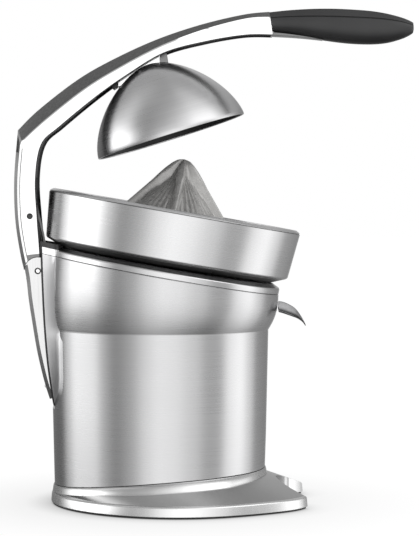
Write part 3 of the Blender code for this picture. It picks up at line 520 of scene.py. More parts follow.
def make_pod():
    lug_from = 155
    heights = [86.4, 87, 88, 89.6, 92, 95, 99, 104, 112, 122, 134, 144, 150, 153, 157, 162, 176, 190, 202,
               210, 218, 224, 232, 239, 244]

    # Painted shade: the cheek's rounded rear edge is near black, standing in for the shadow gap beside the
    # link.
    def shaded_rear_edge(centre, normal):
        return abs(centre.y) < SLOT_HALF + 4.2 and centre.x < pod_rear(centre.z) + 3

    for side, word in ((-1, "right"), (1, "left")):
        rings = [cheek_ring(z, side) for z in heights]
        piece("hinge_pod_" + word, sliced(skin(rings), COLLAR_BOTTOM_T - GAP, 1), BRUSHED_FLAT, "root",
              ["hinge_pod"], edge=(0.3, 2), angle=30, shade_paints=[(UNDER_SHADE, shaded_rear_edge)])
        # The lug cap is a black slice on the lug's top: painted shade standing in for the dark chamfer there.
        for part, low, high, mat in (("lug", COLLAR_BOTTOM_T, LUG_TOP_T, COLLAR_STEEL),
                                     ("lug_shade_cap", LUG_TOP_T, LUG_SHADE_CAP_T, BLACK)):
            block = skin([ring for z, ring in zip(heights, rings) if z > lug_from])
            piece("collar_%s_%s" % (part, word), sliced(sliced(block, high, 1), low, -1), mat, "root", (),
                  edge=(0.4, 2), angle=30, shade_paints=[(UNDER_SHADE, shaded_rear_edge)])
    pocket = box((-139, -SLOT_WALL, 86.6), (POCKET_X, SLOT_WALL, 205))
    piece("hinge_pocket", pocket, BRUSHED_FLAT, "root", ["hinge_pod"],
          cuts=[out(box((-200, -SLOT_HALF, 88), (POCKET_X - 2, SLOT_HALF, 260))),
                out(rod(PIVOT_PIN_R + GAP, -27, 27), across(LINK_X, LINK_Z))])


def make_collar():
    r, e, b = COLLAR_R, COLLAR_EDGE_T, COLLAR_BOTTOM_T
    profile = ([(BOWL_NECK_R + 0.4, COLLAR_TOP_T - 0.4), (BOWL_NECK_R + 1, COLLAR_TOP_T)]
               + arc(r - 2.4, e - 1.2, 2.4, 58, 0, 8)
               + [(r, b + 0.4), (r - 0.4, b), (r - 3.5, b), (r - 3.5, b + 3),
                  (BOWL_NECK_R + 0.4, COLLAR_TOP_T - 2.5)])
    # Painted shade: the collar's flat top, under the bowl, is near black.
    piece("collar_ring", turned(profile), COLLAR_STEEL, "root", ["top_collar"], BOWL_FRAME,
          cuts=[out(box((-200, -SLOT_HALF, 100), (-135, SLOT_HALF, 260)))],
          shade_paints=[(UNDER_SHADE, lambda c, n: c.z > COLLAR_TOP_T - 0.8)])


def base_radius(angle):
    """Radius of the base's rim: a round foot with two toes beside the notch and a slight heel."""
    off_front = abs(degrees(atan2(sin(angle), cos(angle))))
    toes = 11 * exp(-((off_front - 24) / 20) ** 2)
    heel = 4 * exp(-((180 - off_front) / 38) ** 2)
    return 109 + toes + heel


def base_ring(inset, height):
    turn = [2 * pi * i / ROUND for i in range(ROUND)]
    return [(BASE_X + (base_radius(a) - inset) * cos(a), (base_radius(a) - inset) * sin(a), height)
            for a in turn]


def rim_distance(x, y):
    """How far a point lies inside the base's rim."""
    return base_radius(atan2(y, x - BASE_X)) - hypot(x - BASE_X, y)


def seam_grow(x, y):
    """Share of the bead's full width where it passes (x, y): it hugs the body at the heel and the toe."""
    toe = (abs(degrees(atan2(y, x - BODY_X))) - 12) / 40
    return max(0.22, min(1, rim_distance(x, y) / 14, toe))


def seam_drop(drop, share):
    """Depth under the seam, less where the bead is narrow."""
    return drop * mix(0.62, 1, share)


def seam_ring(outset, drop):
    """Ring round the body's foot, at the given offset outwards and downwards from the seam."""
    ring = []
    for x, y in circle(BODY_R_BASE, ROUND, BODY_X):
        out_x, out_y = (x - BODY_X) / BODY_R_BASE, y / BODY_R_BASE
        share = seam_grow(x, y) if outset > 0 else 1
        reach = outset * share
        ring.append((x + out_x * reach, y + out_y * reach, junction_z(x, y) - seam_drop(drop, share)))
    return ring


def notch(extra):
    """Cut of the round notch between the toes, made wider by `extra`."""
    return out(rod(NOTCH_R + extra, -10, 80, 96, (NOTCH_X, 0)))


def make_base():
    low, top = RIM_BOTTOM_Z, RIM_TOP_Z
    rings = [base_ring(inset, z) for inset, z in
             ((2, low), (1, low), (0.3, low + 0.3), (0, low + 1),
              (0.6, top - 1.6), (1.1, top - 0.6), (2, top), (2.9, top + 0.4))]
    rings += [seam_ring(outset, drop) for outset, drop in
              ((8.2, 8.6), (7.4, 7.9), (6.8, 6.9), (6.3, 5.4), (5.5, 3.4),
               (4.4, 1.7), (2.9, 0.5), (1.2, 0), (0.2, 0.15), (-0.6, 0.6))]
    hollow = raw_object("hollow", skin([base_ring(4, -2), base_ring(5.5, 7), seam_ring(-6, 9),
                                        seam_ring(-6, -30)]))
    apply_cut(hollow, *notch(4))
    arch = (Matrix.Translation((-150, 0, RIM_BOTTOM_Z)) @ Matrix.Rotation(pi / 2, 4, "Y")
            @ Matrix.Rotation(0.2, 4, "Z"))

    # Painted shade: the rounded upper edge of the notch is darker grey.
    def shaded_notch_edge(centre, normal):
        off = hypot(centre.x - NOTCH_X, centre.y) - NOTCH_R
        return -0.2 < off < 0.75 and centre.z > low + 1 and normal.z > 0.2

    # Painted shade: the upward-facing skirt between the rim and the bead takes the darker copy of the satin
    # alloy.
    def skirt(centre, normal):
        from_body = hypot(centre.x - BODY_X, centre.y)
        k = BODY_R_BASE / from_body
        x, y = BODY_X + (centre.x - BODY_X) * k, centre.y * k
        foot = junction_z(x, y) - seam_drop(8, seam_grow(x, y))
        on_top = rim_distance(centre.x, centre.y) > 2.2 and from_body > BODY_R_BASE + 0.4
        return on_top and top + 0.25 < centre.z < foot

    piece("base_casting_skin", skin(rings), SATIN_ALLOY, "root", ["base_casting"],
          cuts=[notch(0), out(mesh_back(hollow)), out(rod(4.5, 0, 30), arch)], edge=(0.7, 2), angle=35,
          shade_paints=[(SKIRT_SHADE, skirt), (BEVEL_SHADE, shaded_notch_edge)])
    # A black rubber ring just under the rim: painted shadow for the dark gap under the base.
    shadow_ring = [base_ring(inset, z) for inset, z in ((1.3, 0.3), (1.3, low + 0.2), (3.9, low + 0.2), (3.9, 0.3))]
    piece("base_shadow_ring", skin(shadow_ring, closed=True), RUBBER, "root", (), cuts=[notch(1)])


# ---- bowl, filter, reamer
def make_bowl():
    r0, r1, h = BOWL_R_TOP, BOWL_R_BOTTOM, -BOWL_H
    skirt = ([(r0 - 0.05, -0.95), (r0 - 0.75, -0.75), (r0 - 0.75, -0.35), (r0 - 0.35, 0), (r0 - 1, 0.75),
              (r0 - 3.3, 2.2), (r0 - 3.9, 2.35), (r0 - 4.3, 2), (r0 - 4.4, 1.4), (r0 - 4.4, -3),
              (r1 - 3, h + 1.6), (BOWL_NECK_R, BOWL_NECK_T + 1.6), (BOWL_NECK_R, BOWL_NECK_T),
              (r1 - 2.6, h - 1.6)] + arc(r1 - 2.6, h + 1.6, 3, -88, -6, 9))

    # Painted shade: the groove under the rolled rim and the flat underside are dark.
    def shaded_groove_or_underside(centre, normal):
        in_groove = -0.8 < centre.z < -0.3 and hypot(centre.x, centre.y) > r0 - 0.9
        return in_groove or (normal.z < -0.8 and centre.z < h)

    piece("bowl_skirt_skin", turned(skirt), BRUSHED_BOWL, "root", ["bowl_skirt"], BOWL_FRAME,
          shade_paints=[(EDGE_SHADE, shaded_groove_or_underside)])

    pan = ([(107.2, -1), (107.2, -2.5), (103.6, -2.6), (101.8, -30)] + arc(93, -36.4, 8.2, -10, -80, 6)
           + [(14, -42), (14, -20), (15.5, -20), (15.5, -40.4)] + arc(92, -35.2, 7.6, -80, -10, 6)
           + arc(103, -2.4, 1.4, 180, 90, 4))
    piece("juice_pan_skin", turned(pan), PAN_STEEL, "root", ["juice_pan"], BOWL_FRAME,
          cuts=[out(rod(OUTLET_R, -60, -30, 48, (OUTLET_X - 1.5, 0)), BOWL_FRAME)])


def make_filter():
    """Strainer dish: one sheet with open slots, thickened by Solidify."""
    sectors, parts, thickness = 40, (0, 0.32, 0.68), 1.1
    long_slots, short_slots = 3, 5  # rows of the profile that the slots cross
    profile = [(101, -10.6), (100.6, -11), (99.6, -11.6), (86, -14.7), (66, -19), (64, -19.5), (46, -23.4),
               (42, -24.1), (19.2, -24.6), (18.2, -24.2), (18, -23.4), (18, -21.4)]
    angles = [2 * pi * (n + p) / sectors for n in range(sectors) for p in parts]
    bm = bmesh.new()
    grid = [[bm.verts.new((r * cos(a), r * sin(a), t)) for a in angles] for r, t in profile]
    for row, (first, second) in enumerate(zip(grid, grid[1:])):
        for i in range(len(angles)):
            sector, part = divmod(i, len(parts))
            is_slot = part == 1 and (row == long_slots or row == short_slots and sector % 2 == 0)
            if not is_slot:
                j = (i + 1) % len(angles)
                bm.faces.new((first[i], first[j], second[j], second[i]))
    sheet = raw_object("sheet", bm)
    mod = sheet.modifiers.new("sheet", "SOLIDIFY")
    mod.thickness = thickness * MM
    mod.offset = 0
    freeze(sheet)
    piece("filter_basket_sheet", mesh_back(sheet), PAN_STEEL, "root", ["filter_basket"], BOWL_FRAME)


FIN_LINE = [(0, 47), (3, 46.6), (6, 45.5), (10, 42.4), (15, 37.2), (20, 31), (24.2, 25.3), (42, 3.7),
            (47.6, -3.1), (48.5, -5), (48.5, -15)]
CONE_LINE = [(0, 45.8), (3, 43.4), (5.5, 38), (8.5, 31), (12.5, 26), (18, 20.5), (26, 12.3), (33.5, 4),
             (40, -2.6), (45, -7), (47.6, -10), (48.5, -12.5), (48.5, -15)]


def radius_at(line, t):
    return along([(-z, r) for r, z in line], -t)


def make_reamer():
    """Four tall fins on a cone, with finer ribs between them."""
    fins, fin_half, ribs, rib_depth, count = 4, 2.6, 40, 1.5, 480
    bore, bore_top, bottom, tip = 5.3, 13, -15, 47
    heights = [46.8, 46.3, 45.6, 44.4, 42.4, 40, 37.2, 34, 31, 28, 25.3, 22, 18, 14, 10, 6, 2, -1, -3.1, -5,
               -7, -9, -10.5, -12.5, -14.2, bottom]
    rings = [[(0, 0, tip)]]
    for t in heights:
        tall, low = radius_at(FIN_LINE, t), radius_at(CONE_LINE, t)
        depth = min(rib_depth, 0.05 * low) * clamp((t + 11) / 6)
        ring = []
        for x, y in circle(1, count):
            a = 2 * pi * len(ring) / count
            phase = (a * fins / (2 * pi)) % 1
            off = min(phase, 1 - phase) * 2 * pi / fins * max(low, 8)
            fin = exp(-(off / fin_half) ** 4) if off < 12 else 0
            rib = (0.5 + 0.5 * cos(ribs * a)) ** 0.7
            r = mix(low - depth * (1 - rib), tall, fin)
            ring.append((r * x, r * y, t))
        rings.append(ring)
    rings += [[(x, y, z) for x, y in circle(bore, count)] for z in (bottom, bore_top)] + [[(0, 0, bore_top)]]
    piece("reamer_cone", skin(rings, caps=False), REAMER_GREY, "reamer_drive", ["reamer"], BOWL_FRAME,
          angle=50, weighted=False)
    piece("spindle_rod", rod(5, -71.5, 12.7, 48, edge=0.4), STEEL, "reamer_drive", ["spindle"],
          BOWL_FRAME)


# ---- juice path
def make_spout():
    upper = smooth_line([(57.2, 176.3), (62.5, 175.2), (67.3, 173.1), (72.4, 169.9), (76.1, 165.1),
                         (79.5, 159.6), (81.2, 155.4)], 6)
    lower = smooth_line([(57.2, 167.5), (61, 166.4), (65.4, 164.9), (69.6, 163.4), (73.4, 161.9),
                         (77.8, 158.9), (80.9, 155)], 6)
    rings = []
    for n, (top, low) in enumerate(zip(upper, lower)):
        half = mix(14.4, 4, (n / (len(upper) - 1)) ** 2.6)
        top, low = middle(top), middle(low)
        height, up = (top - low).length, (top - low).normalized()
        floor, turn = min(0.5 * height, 1.6), 0.72 * height
        rim = max(height, turn + 0.05)
        section = [(0, 0)] + [(turn * (1 - cos(a)), half - 0.55 * turn * (1 - sin(a)))
                                  for a in (radians(d) for d in (0, 18, 36, 54, 72, 90))]
        section += [(rim, half - 0.5), (rim, half - 1.2), (rim - 0.3, half - 1.7),
                    (max(floor + 0.5, 0.55 * turn), half - 2 - 0.1 * turn),
                    (floor, max(0.5, half - 2.4 - 0.5 * turn))]
        right = [low + up * u + Vector((0, v, 0)) for u, v in section]
        rings.append(right + mirrored(right[1:]))
    pin = Matrix.Translation((SPOUT_PIN_X, 0, SPOUT_PIN_Z))
    flips = [pin @ Matrix.Rotation(radians(turn), 4, "Y") @ pin.inverted()
             for turn in (0, 10, 20, SPOUT_SWING)]
    piece("spout_beak", skin(rings), SPOUT_SHADED_STEEL, "spout_flap", ["spout"],
          cuts=[out(body_block(-0.15), flip) for flip in flips], edge=(0.3, 2), angle=40)
    piece("spout_pivot", rod(1.5, -12.4, 12.4, 24, edge=0.3), STEEL, "root", ["spout_pin"],
          across(SPOUT_PIN_X, SPOUT_PIN_Z))
    piece("juice_duct_channel", box((81, -12, -71.2), (108.5, 12, -59.2)), BLACK, "root", ["juice_duct"],
          BOWL_FRAME,
          cuts=[(rod(10.8, -71.4, -46.6, 48, (OUTLET_X, 0)), BOWL_FRAME, "UNION"),
                (body_block(0.4), Matrix(), "INTERSECT"),
                out(box((80, -9.5, -69.2), (130, 9.5, -61.2)), BOWL_FRAME),
                out(rod(8.8, -69.2, -40, 48, (OUTLET_X, 0)), BOWL_FRAME)], edge=(0.4, 2))


# ---- lever
TOP_REAR = [(-165.2, 196.2), (-170.6, 220), (-174.8, 250), (-175.5, 285), (-172.6, 327.1)]
TOP_FRONT = [(-172.6, 327.1), (-154.4, 345), (-120.1, 371.4), (-89.3, 389), (-50.6, 406.6), (-11, 419.8),
             (26.8, 428.6), (49, 431)]
INNER_REAR = [(-161.9, 196.6), (-167.4, 220.4), (-171.7, 249.5), (-172.4, 284), (-169.7, 316.5)]
INNER_FRONT = [(-168.5, 317.7), (-148.3, 336.2), (-114.8, 362.6), (-85.4, 380.8), (-48, 400.4), (-9.2, 415.1),
               (28.2, 424.8), (49.7, 426.3)]
ARM_UNDER = [(-149.4, 200), (-151.3, 222), (-154.5, 252), (-156.2, 286), (-150.8, 315), (-134.6, 330.4),
             (-103.2, 356), (-76, 375.2), (-43.4, 394.5), (-6.6, 404.4), (27.8, 410), (52, 410.2)]
ARM_STEPS = 8


def drawn_in(points, half=None):
    """Side outlines moved from the middle plane onto the near faces, at arm_half or `half`."""
    moved = []
    for x, z in points:
        k = 1 - (arm_half(x) if half is None else half) / SIDE_AWAY
        moved.append((SIDE_X + (x - SIDE_X) * k, SIDE_Z + (z - SIDE_Z) * k))
    return moved


def arm_half(x):
    s = clamp((x + 150) / 200)
    return mix(ARM_HALF_REAR, ARM_HALF_FRONT, s * s * (3 - 2 * s))


def arm_ring(top, inner, low, groove, hem):
    """Section of the arm: crowned top, bevel down to `inner`, side face, lower hem, hollow underneath."""
    top, inner, low = middle(top), middle(inner), middle(low)
    down = (low - inner).normalized()
    ht, hl = arm_half(top.x), arm_half(low.x)
    wide, lip = 0.6 * (inner - top).length + 0.8, hl - 0.75 * hem
    side = Vector((0, 1, 0))
    right = [top + side * (ht - wide), inner + side * ht]
    right += [inner + down * depth + side * (ht - back)
              for depth, back in ((1.7, 0), (1.95, groove), (2.25, groove), (2.5, 0))]
    right += [low - down * hem + side * (hl - 0.5), low + side * lip, low + side * (lip - 1.3),
              low - down * 4 + side * (hl - 4.4), inner + down * 3.5 + side * (ht - 4.4)]
    return right + mirrored(right)


def dome_outline(radius, count, lift=0):
    """Quarter section of the dome, from the rim up to the axis."""
    turn = [pi / 2 * i / count for i in range(count)]
    return ([(radius * cos(a) ** (2 / DOME_POWER), radius * sin(a) ** (2 / DOME_POWER) + lift)
             for a in turn] + [(0, radius + lift)])


def dome_room(gap, count):
    """Cut that leaves a gap round the dome."""
    return out(turned([(0, -20), (DOME_R + gap, -20)] + dome_outline(DOME_R + gap, count), 64), DOME_FRAME)


def pin_hole(radius, x, z, count=32):
    return out(rod(radius, -40, 40, count), across(x, z))


def make_arm():
    tops = drawn_in(smooth_line(TOP_REAR, ARM_STEPS)[:-1] + smooth_line(TOP_FRONT, ARM_STEPS))
    inners = drawn_in(smooth_line(INNER_REAR, ARM_STEPS)[:-1] + smooth_line(INNER_FRONT, ARM_STEPS))
    lows = drawn_in(smooth_line(ARM_UNDER, ARM_STEPS))
    corner, last = 4 * ARM_STEPS, len(tops) - 1
    rings = []
    for n, (top, inner, low) in enumerate(zip(tops, inners, lows)):
        hem = along([(0, 3.3), (8, 2.4), (16, 1.3), (24, 0.8), (last, 0.8)], n)
        rings.append(arm_ring(top, inner, low, 0.5 if n < corner - 1 else 0, hem))
    cross_pin = drawn_in([(CROSS_PIN_X, CROSS_PIN_Z)])[0]
    body = skin(rings)
    points, bevel, groove, hollow = len(rings[0]), 0, 3, 6  # places in the section
    # Painted shade: the top bevel is darker grey, the rear bevel and the groove darker still, the lower hem
    # and the hollow underneath near black.
    for index, face in enumerate(body.faces):
        ring_no, place = divmod(index, points)
        place = min(place, points - 2 - place)
        if ring_no < last and place == bevel:
            face.material_index = 1 if ring_no >= corner - 3 else 2
        elif ring_no < corner - 2 and place == groove:
            face.material_index = 2
        elif ring_no < last and place >= hollow:
            face.material_index = 3
    # Painted shade also on the ring of faces round the knuckle's hole.
    piece("lever_arm_body", body, (ARM_ALLOY, BEVEL_SHADE, EDGE_SHADE, UNDER_SHADE), "arm", ["lever_arm"],
          edge=(0.3, 2), angle=36,
          cuts=[pin_hole(KNUCKLE_R, ARM_X, ARM_Z, 96), dome_room(2, 14),
                pin_hole(CROSS_PIN_R + GAP, *cross_pin)],
          shade_paints=[(BEVEL_SHADE, lambda c, n: abs(hypot(c.x - ARM_X, c.z - ARM_Z) - KNUCKLE_R) < 0.5)])
    for name, x, z, radius, half, mat, node in (
            ("cross_pin", *cross_pin, CROSS_PIN_R, ARM_HALF_REAR - 1.4, DARK_STEEL, "arm_cross_pin"),
            ("arm_pivot", ARM_X, ARM_Z, 1.9, ARM_HALF_REAR - 0.3, ARM_ALLOY, "arm_pivot_pin"),
            ("dome_pivot", DOME_PIN_X, DOME_PIN_Z, DOME_PIN_R, arm_half(DOME_PIN_X) - 3.5, STEEL,
             "dome_pivot_pin")):
        piece(name + "_rod", rod(radius, -half, half, edge=0.4), mat, "arm", [node], across(x, z))
    for name, first, end in (("rear", 24, 48), ("front", 68, 84)):
        strip = []
        for top, low in zip(tops[first:end + 1], lows[first:end + 1]):
            low = middle(low)
            up, half = (middle(top) - low).normalized(), arm_half(low.x) - 4
            a, b = low + up * 1.6, low + up * 3.2
            strip.append([(p.x, y, p.z) for p, y in ((a, -half), (a, half), (b, half), (b, -half))])
        piece("arm_cover_%s_strip" % name, skin(strip), BLACK, "arm", ["arm_cover_" + name],
              edge=(0.3, 2))
    lug = [(ARM_X - 9, ARM_Z - 2), (ARM_X - 9, 238), (-168, 262), (-156, 262), (ARM_X + 3, 236),
           (ARM_X + 8, ARM_Z + 4), (ARM_X + 8, ARM_Z - 4), (ARM_X, ARM_Z - 9), (ARM_X - 6, ARM_Z - 7)]
    piece("arm_knuckle_block", side_prism(lug, 12), DARK_STEEL, "arm", ["arm_knuckle"],
          bevel=(1.2, 3),
          cuts=[pin_hole(PIVOT_PIN_R + GAP, ARM_X, ARM_Z), pin_hole(CROSS_PIN_R + GAP, *cross_pin)])


def make_grip():
    """Soft-touch grip: upper facet above a ridge line, softly crowned sides and belly."""
    top = [(46.4, 429.6), (56, 430.7), (67.3, 431.8), (85, 432.8), (102.5, 433), (120, 432.3), (137.7, 430.9),
           (152, 428.5), (164.1, 425.4), (171, 422.9), (174.8, 421)]
    low = [(53.4, 411.6), (58, 411.2), (68.3, 410), (85, 407.4), (102.5, 404.6), (120, 402.6), (137.7, 402),
           (152, 403.2), (164, 406.4), (171, 409.4), (174.7, 411.8)]
    ridge = [0.30, 0.30, 0.30, 0.285, 0.27, 0.255, 0.24, 0.225, 0.23, 0.26, 0.30]
    half = [12.6, 13, 13.8, 14.8, 15.6, 16, 15.8, 14.8, 12.6, 10, 7.6]
    # Half the section: share of the half width, and height from 0 at the top by 1 at the ridge to `belly`.
    belly = 3.85
    section = [(0, 0), (0.3, 0.012), (0.52, 0.05), (0.7, 0.48), (0.86, 0.84), (0.9, 0.92), (0.865, 1),
               (0.93, 1.1), (0.965, 1.35), (1, 1.9), (0.985, 2.4), (0.93, 2.9), (0.8, 3.3), (0.58, 3.62),
               (0.30, 3.8), (0, belly)]
    rings = []
    for row in smooth_line([(*a, *b, r, h) for a, b, r, h in zip(top, low, ridge, half)], 6):
        a, b, r, h = middle(row[:2]), middle(row[2:4]), row[4], row[5]
        ring = []
        for y, k in section:
            depth = k * r if k <= 1 else r + (1 - r) * (k - 1) / (belly - 1)
            ring.append(a.lerp(b, depth) + Vector((0, h * y, 0)))
        rings.append(ring + mirrored(ring[1:-1]))
    tip_x, tip_z = 175.4, 416.7
    rings.append([(mix(x, tip_x, 0.75), 0.6 * y, mix(z, tip_z, 0.35)) for x, y, z in rings[-1]])
    rings.append([(tip_x + 0.2, 0, tip_z)])
    bm = skin(rings, caps=False)
    bmesh.ops.contextual_create(bm, geom=[e for e in bm.edges if e.is_boundary])
    core = Matrix.Translation((30, 0, 418.6)) @ Matrix.Rotation(radians(89.5), 4, "Y")
    piece("handle_grip_shell", bm, SOFT_BLACK, "arm", ["handle_grip"],
          cuts=[out(rod(5.8, -5, 92), core)], angle=34, weighted=False)
    piece("grip_core_rod", rod(5.5, 0, 91, edge=0.5), STEEL, "arm", ["grip_core"], core)
    shoe, steps = [], 12
    for n in range(steps + 1):
        s = n / steps
        x, z = mix(50.2, 96, s), mix(409.3, 405.6, s) + 0.5 * sin(pi * s)
        tall, wide = mix(2.6, 0.25, s ** 1.3), mix(10.5, 7, s)
        left = [(wide * 0.8, z), (wide * 0.97, z + 0.15 * tall), (wide, z + tall)]
        shoe.append([(x, -y, up) for y, up in left[::-1]] + [(x, y, up) for y, up in left])
    # The shoe under the grip takes the dark-grey satin: painted shade under the grip.
    piece("grip_shoe", skin(shoe), BEVEL_SHADE, "arm", (), edge=(0.2, 2))


def make_rear_link():
    half, wall, chamfer, slim_by = ARM_HALF_REAR, 3, 2.6, 3.4
    outer = smooth_line([(ARM_X - KNUCKLE_R - 1.9, ARM_Z + 4.4), (-164.9, 195.4), (-163, 178), (-159.8, 157),
                         (-155.6, 132), (-149.8, 107), (-144.6, 90)], 8)
    inner = smooth_line([(-141.6, 92), (-141.4, 108), (-143.2, 140), (-144.6, 175), (-144.2, 193)], 8)
    outer, inner = drawn_in(outer, half), drawn_in(inner, half)
    boss = arc(ARM_X, ARM_Z, KNUCKLE_R - 0.5, -45, 158, 24)
    web = [(x + 2.8, z) for x, z in outer if z > 114]
    hollow = [(-170, 240), (-170, 196.2)] + web + [(-143.9, 112), (-120, 112), (-120, 240)]
    slim = []
    for n, (x, z) in enumerate(outer):
        run = (Vector(outer[min(n + 1, len(outer) - 1)]) - Vector(outer[max(n - 1, 0)])).normalized()
        slim.append((x - run.y * slim_by, z + run.x * slim_by))
    full, face = outer + inner + boss, slim + inner + boss
    channel = skin([[(x, y, z) for x, z in line] for line, y in
                    ((face, -half), (full, chamfer - half), (full, half - chamfer), (face, half))])

    # Painted shade: the band along the link's outer edge is dark grey, standing in for the reflection on its
    # chamfer.
    def shaded_outer_band(centre, normal):
        edge_x = along([(z, x) for x, z in outer[::-1]], centre.z)
        return half - 2.5 < abs(centre.y) < half - 0.1 and centre.x < edge_x + 3.6

    piece("rear_link_channel", channel, LINK_ALLOY, "link", ["rear_link"],
          cuts=[out(side_prism(hollow, half - wall)), pin_hole(PIVOT_PIN_R + GAP, ARM_X, ARM_Z)],
          edge=(0.25, 2), angle=30, shade_paints=[(BEVEL_SHADE, shaded_outer_band)])
    piece("link_pivot_rod", rod(PIVOT_PIN_R, -LINK_PIN_HALF, LINK_PIN_HALF, edge=0.4), STEEL, "root",
          ["link_pivot_pin"], across(LINK_X, LINK_Z))


def make_dome():
    inner = dome_outline(DOME_R - 1.5, 36)
    rim = [(DOME_R - 1.3, -0.2), (DOME_R - 0.75, -0.45), (DOME_R - 0.2, -0.2)]
    piece("press_dome_shell", turned(inner[::-1] + rim + dome_outline(DOME_R, 36)[1:]), BRUSHED_DOME, "dome",
          ["press_dome"], DOME_FRAME)
    liner = dome_outline(DOME_R - 3.4, 20, 0.3)[::-1] + dome_outline(DOME_R - 1.8, 20, 0.3)
    piece("dome_liner_cup", turned(liner, 96), LINER_SHADE, "dome", ["dome_liner"], DOME_FRAME)

    x, z = DOME_PIN_X, DOME_PIN_Z
    block = [(x - 6, z + 1), (x + 2, z + 5), (-47, 394), (-46, 375), (-84, 364), (-84, 370)]
    post = [(-46.4, 393.6), (-41, 394.6), (-39.4, 384), (-48.6, 382)]
    stop = [(-90.4, 366.8), (-84.2, 370.6), (-81.4, 366), (-87.6, 362)]
    # The saddle's post and stop, in the shade under the arm, take the dark satins: painted shade.
    for part, outline, half, mat, bevel, holes in (
            ("block", block, 9, ARM_ALLOY, (1, 3), [pin_hole(DOME_PIN_R + GAP, x, z)]),
            ("post", post, 7, BEVEL_SHADE, (0.6, 2), []), ("stop", stop, 8, UNDER_SHADE, (0.6, 2), [])):
        piece("dome_saddle_" + part, side_prism(outline, half), mat, "dome", ["dome_saddle"],
              bevel=bevel, cuts=[dome_room(GAP, 20)] + holes)


def dress_carried_nodes():
    """Materials for the CAD nodes that stay in view or inside."""
    plans = {
        BLACK: "drive_deck bottom_plate gearbox_case motor_end_bell start_switch",
        RUBBER: "cord_gland foot_1 foot_2 foot_3 foot_4",
        STEEL: "base_screw_1 base_screw_2 base_screw_3 base_screw_4 idler_pin motor_rotor motor_pinion"
               " motor_can motor_plate spindle_bushing thrust_collar",
        GEAR_WHITE: "output_gear idler_gear",
        BOARD: "control_board",
    }
    for mat, names in plans.items():
        for name in names.split():
            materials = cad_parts[name].data.materials
            materials.clear()
            materials.append(mat)


# ---- floor, light, camera
def make_floor():
    """White floor under a white sky, with a soft contact shadow from two ranges of occlusion."""
    reach, brightness = 15000, 1.01
    plane = bmesh.new()
    bmesh.ops.create_grid(plane, x_segments=1, y_segments=1, size=reach)
    floor = raw_object("floor", plane)
    mat, tree, shader = shader_of("floor_pale")[:3]
    tree.nodes.remove(shader)
    shades = []
    for distance, weight in ((0.026, 0.62), (0.16, 0.4)):
        contact = add_node(tree, "ShaderNodeAmbientOcclusion", {"Distance": distance}, samples=12)
        shades.append(span(tree, contact.outputs["AO"], 1 - weight, 1, 0, 1))
    both = add_node(tree, "ShaderNodeMath", dict(enumerate(shades)), operation="MULTIPLY").outputs["Value"]
    glow = add_node(tree, "ShaderNodeEmission", {"Color": both, "Strength": brightness})
    feed(tree, tree.nodes["Material Output"], {"Surface": glow.outputs["Emission"]})
    floor.data.materials.append(mat)
    for ray in ("diffuse", "glossy", "transmission", "shadow"):
        setattr(floor, "visible_" + ray, False)


# Radiance round the horizon against the azimuth in degrees, where 0 is the photographed side: a front
# light, a softbox on each side with dark gaps between, and a fill behind the object. The middle ring
# holds at the horizon, the low ring well under it and the high ring well over it.
HORIZON = [(-180, 0.7), (-171, 0.6), (-162, 0.22), (-128, 0.18), (-112, 1.4), (-100, 2.4), (-72, 2.36),
           (-60, 1.12), (-47, 0.43), (-32, 0.59), (-14, 1.22), (0, 1.5), (14, 1.4), (38, 1), (54, 0.53),
           (66, 0.5), (82, 1.5), (97, 1.74), (112, 1.05), (128, 0.38), (150, 0.3), (162, 0.26), (171, 0.6),
           (180, 0.70)]
LOW_HORIZON = [(-180, 0.6), (-162, 0.12), (-112, 0.12), (-96, 0.14), (-72, 0.16), (-58, 0.2), (-44, 0.34),
               (-28, 0.7), (-10, 1.3), (0, 1.5), (14, 1.42), (38, 1.02), (54, 0.6), (66, 0.6), (82, 1.4),
               (97, 1.6), (112, 1.1), (128, 0.44), (162, 0.3), (180, 0.6)]
HIGH_HORIZON = [(-180, 0.74), (-150, 0.46), (-124, 0.36), (-104, 0.66), (-86, 0.95), (-66, 0.4), (-48, 0.34),
                (-20, 0.48), (0, 0.72), (18, 1.1), (40, 1.7), (74, 1.74), (92, 0.84), (112, 0.44),
                (150, 0.46), (180, 0.7)]
# Against the elevation in degrees: share of the low and high rings, strength of the ring, light from above.
LEVEL_SHARE = [(-90, 0), (-18, 0), (0, 1), (90, 1)]
HIGH_SHARE = [(-90, 0), (10, 0), (30, 1), (90, 1)]
LIFT = [(-90, 0.03), (-60, 0.08), (-42, 0.24), (-26, 0.8), (-8, 0.97), (20, 0.97), (32, 1.1), (44, 0.9),
        (58, 0.42), (90, 0.26)]
ZENITH = [(-90, 0), (38, 0), (64, 0.15), (90, 0.15)]
WORLD_STRENGTH = 2  # the ramps hold values up to 1, so they are drawn at half strength


def ramp(tree, factor, stops):
    """Grey level by a factor from 0 to 1."""
    made = add_node(tree, "ShaderNodeValToRGB", {"Fac": factor})
    elements = made.color_ramp.elements
    made.color_ramp.interpolation = "EASE"
    while len(elements) < len(stops):
        elements.new(0.5)
    for element, (position, value) in zip(elements, stops):
        element.position = position
        element.color = (value, value, value, 1)
    return made.outputs["Color"]


def blend(tree, first, second, factor=1, kind="MIX"):
    colour_a, colour_b, colour_out = 6, 7, 2  # sockets of the node's colour mode
    made = add_node(tree, "ShaderNodeMix", {"Factor": factor, colour_a: first, colour_b: second},
                    data_type="RGBA", blend_type=kind)
    return made.outputs[colour_out]


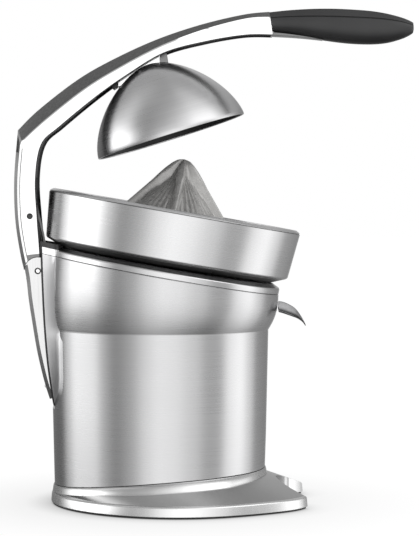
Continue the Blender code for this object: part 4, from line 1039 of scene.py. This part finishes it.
def make_world():
    """White backdrop for the camera; for light and reflections, a softbox ring round the horizon."""
    world = bpy.data.worlds.new("studio")
    bpy.context.scene.world = world
    world.use_nodes = True
    tree = world.node_tree
    tree.nodes.clear()
    coords = tree.nodes.new("ShaderNodeTexCoord").outputs["Generated"]
    turn = add_node(tree, "ShaderNodeMapping", {"Vector": coords, "Rotation": (0, 0, radians(90))})
    azimuth = add_node(tree, "ShaderNodeTexGradient", {"Vector": turn.outputs["Vector"]},
                       gradient_type="RADIAL")
    parts = add_node(tree, "ShaderNodeSeparateXYZ", {"Vector": coords})
    height = add_node(tree, "ShaderNodeMapRange", {"Value": parts.outputs["Z"], "From Min": -1})

    def by_azimuth(marks):
        return ramp(tree, azimuth.outputs["Fac"], [((d + 180) / 360, v / WORLD_STRENGTH) for d, v in marks])

    def by_elevation(marks):
        return ramp(tree, height.outputs["Result"], [((sin(radians(d)) + 1) / 2, v) for d, v in marks])

    ring = blend(tree, by_azimuth(LOW_HORIZON), by_azimuth(HORIZON), by_elevation(LEVEL_SHARE))
    ring = blend(tree, ring, by_azimuth(HIGH_HORIZON), by_elevation(HIGH_SHARE))
    lifted = blend(tree, ring, by_elevation(LIFT), kind="MULTIPLY")
    total = blend(tree, lifted, by_elevation(ZENITH), kind="ADD")
    light = add_node(tree, "ShaderNodeBackground", {"Color": total, "Strength": WORLD_STRENGTH})
    white = add_node(tree, "ShaderNodeBackground", {"Color": (1, 1, 1, 1)})
    seen = tree.nodes.new("ShaderNodeLightPath").outputs["Is Camera Ray"]
    choose = add_node(tree, "ShaderNodeMixShader",
                      {0: seen, 1: light.outputs["Background"], 2: white.outputs["Background"]})
    add_node(tree, "ShaderNodeOutputWorld", {"Surface": choose.outputs["Shader"]})


def make_camera():
    """Long lens on the photographed side, tipped down a little."""
    data = bpy.data.cameras.new("camera")
    camera = bpy.data.objects.new("camera", data)
    bpy.context.scene.collection.objects.link(camera)
    data.sensor_width = 36
    data.lens = 134.3
    data.clip_end = 60
    camera.location = (SIDE_X * MM, -SIDE_AWAY * MM, SIDE_Z * MM)
    camera.rotation_euler = (radians(90 - 1.75), 0, 0)
    bpy.context.scene.camera = camera


for make in (make_camera, make_world, make_floor, make_housing, make_pod, make_collar, make_base, make_bowl,
             make_filter, make_reamer, make_spout, make_arm, make_grip, make_rear_link, make_dome,
             dress_carried_nodes):
    make()
bpy.context.scene.view_settings.view_transform = "Standard"
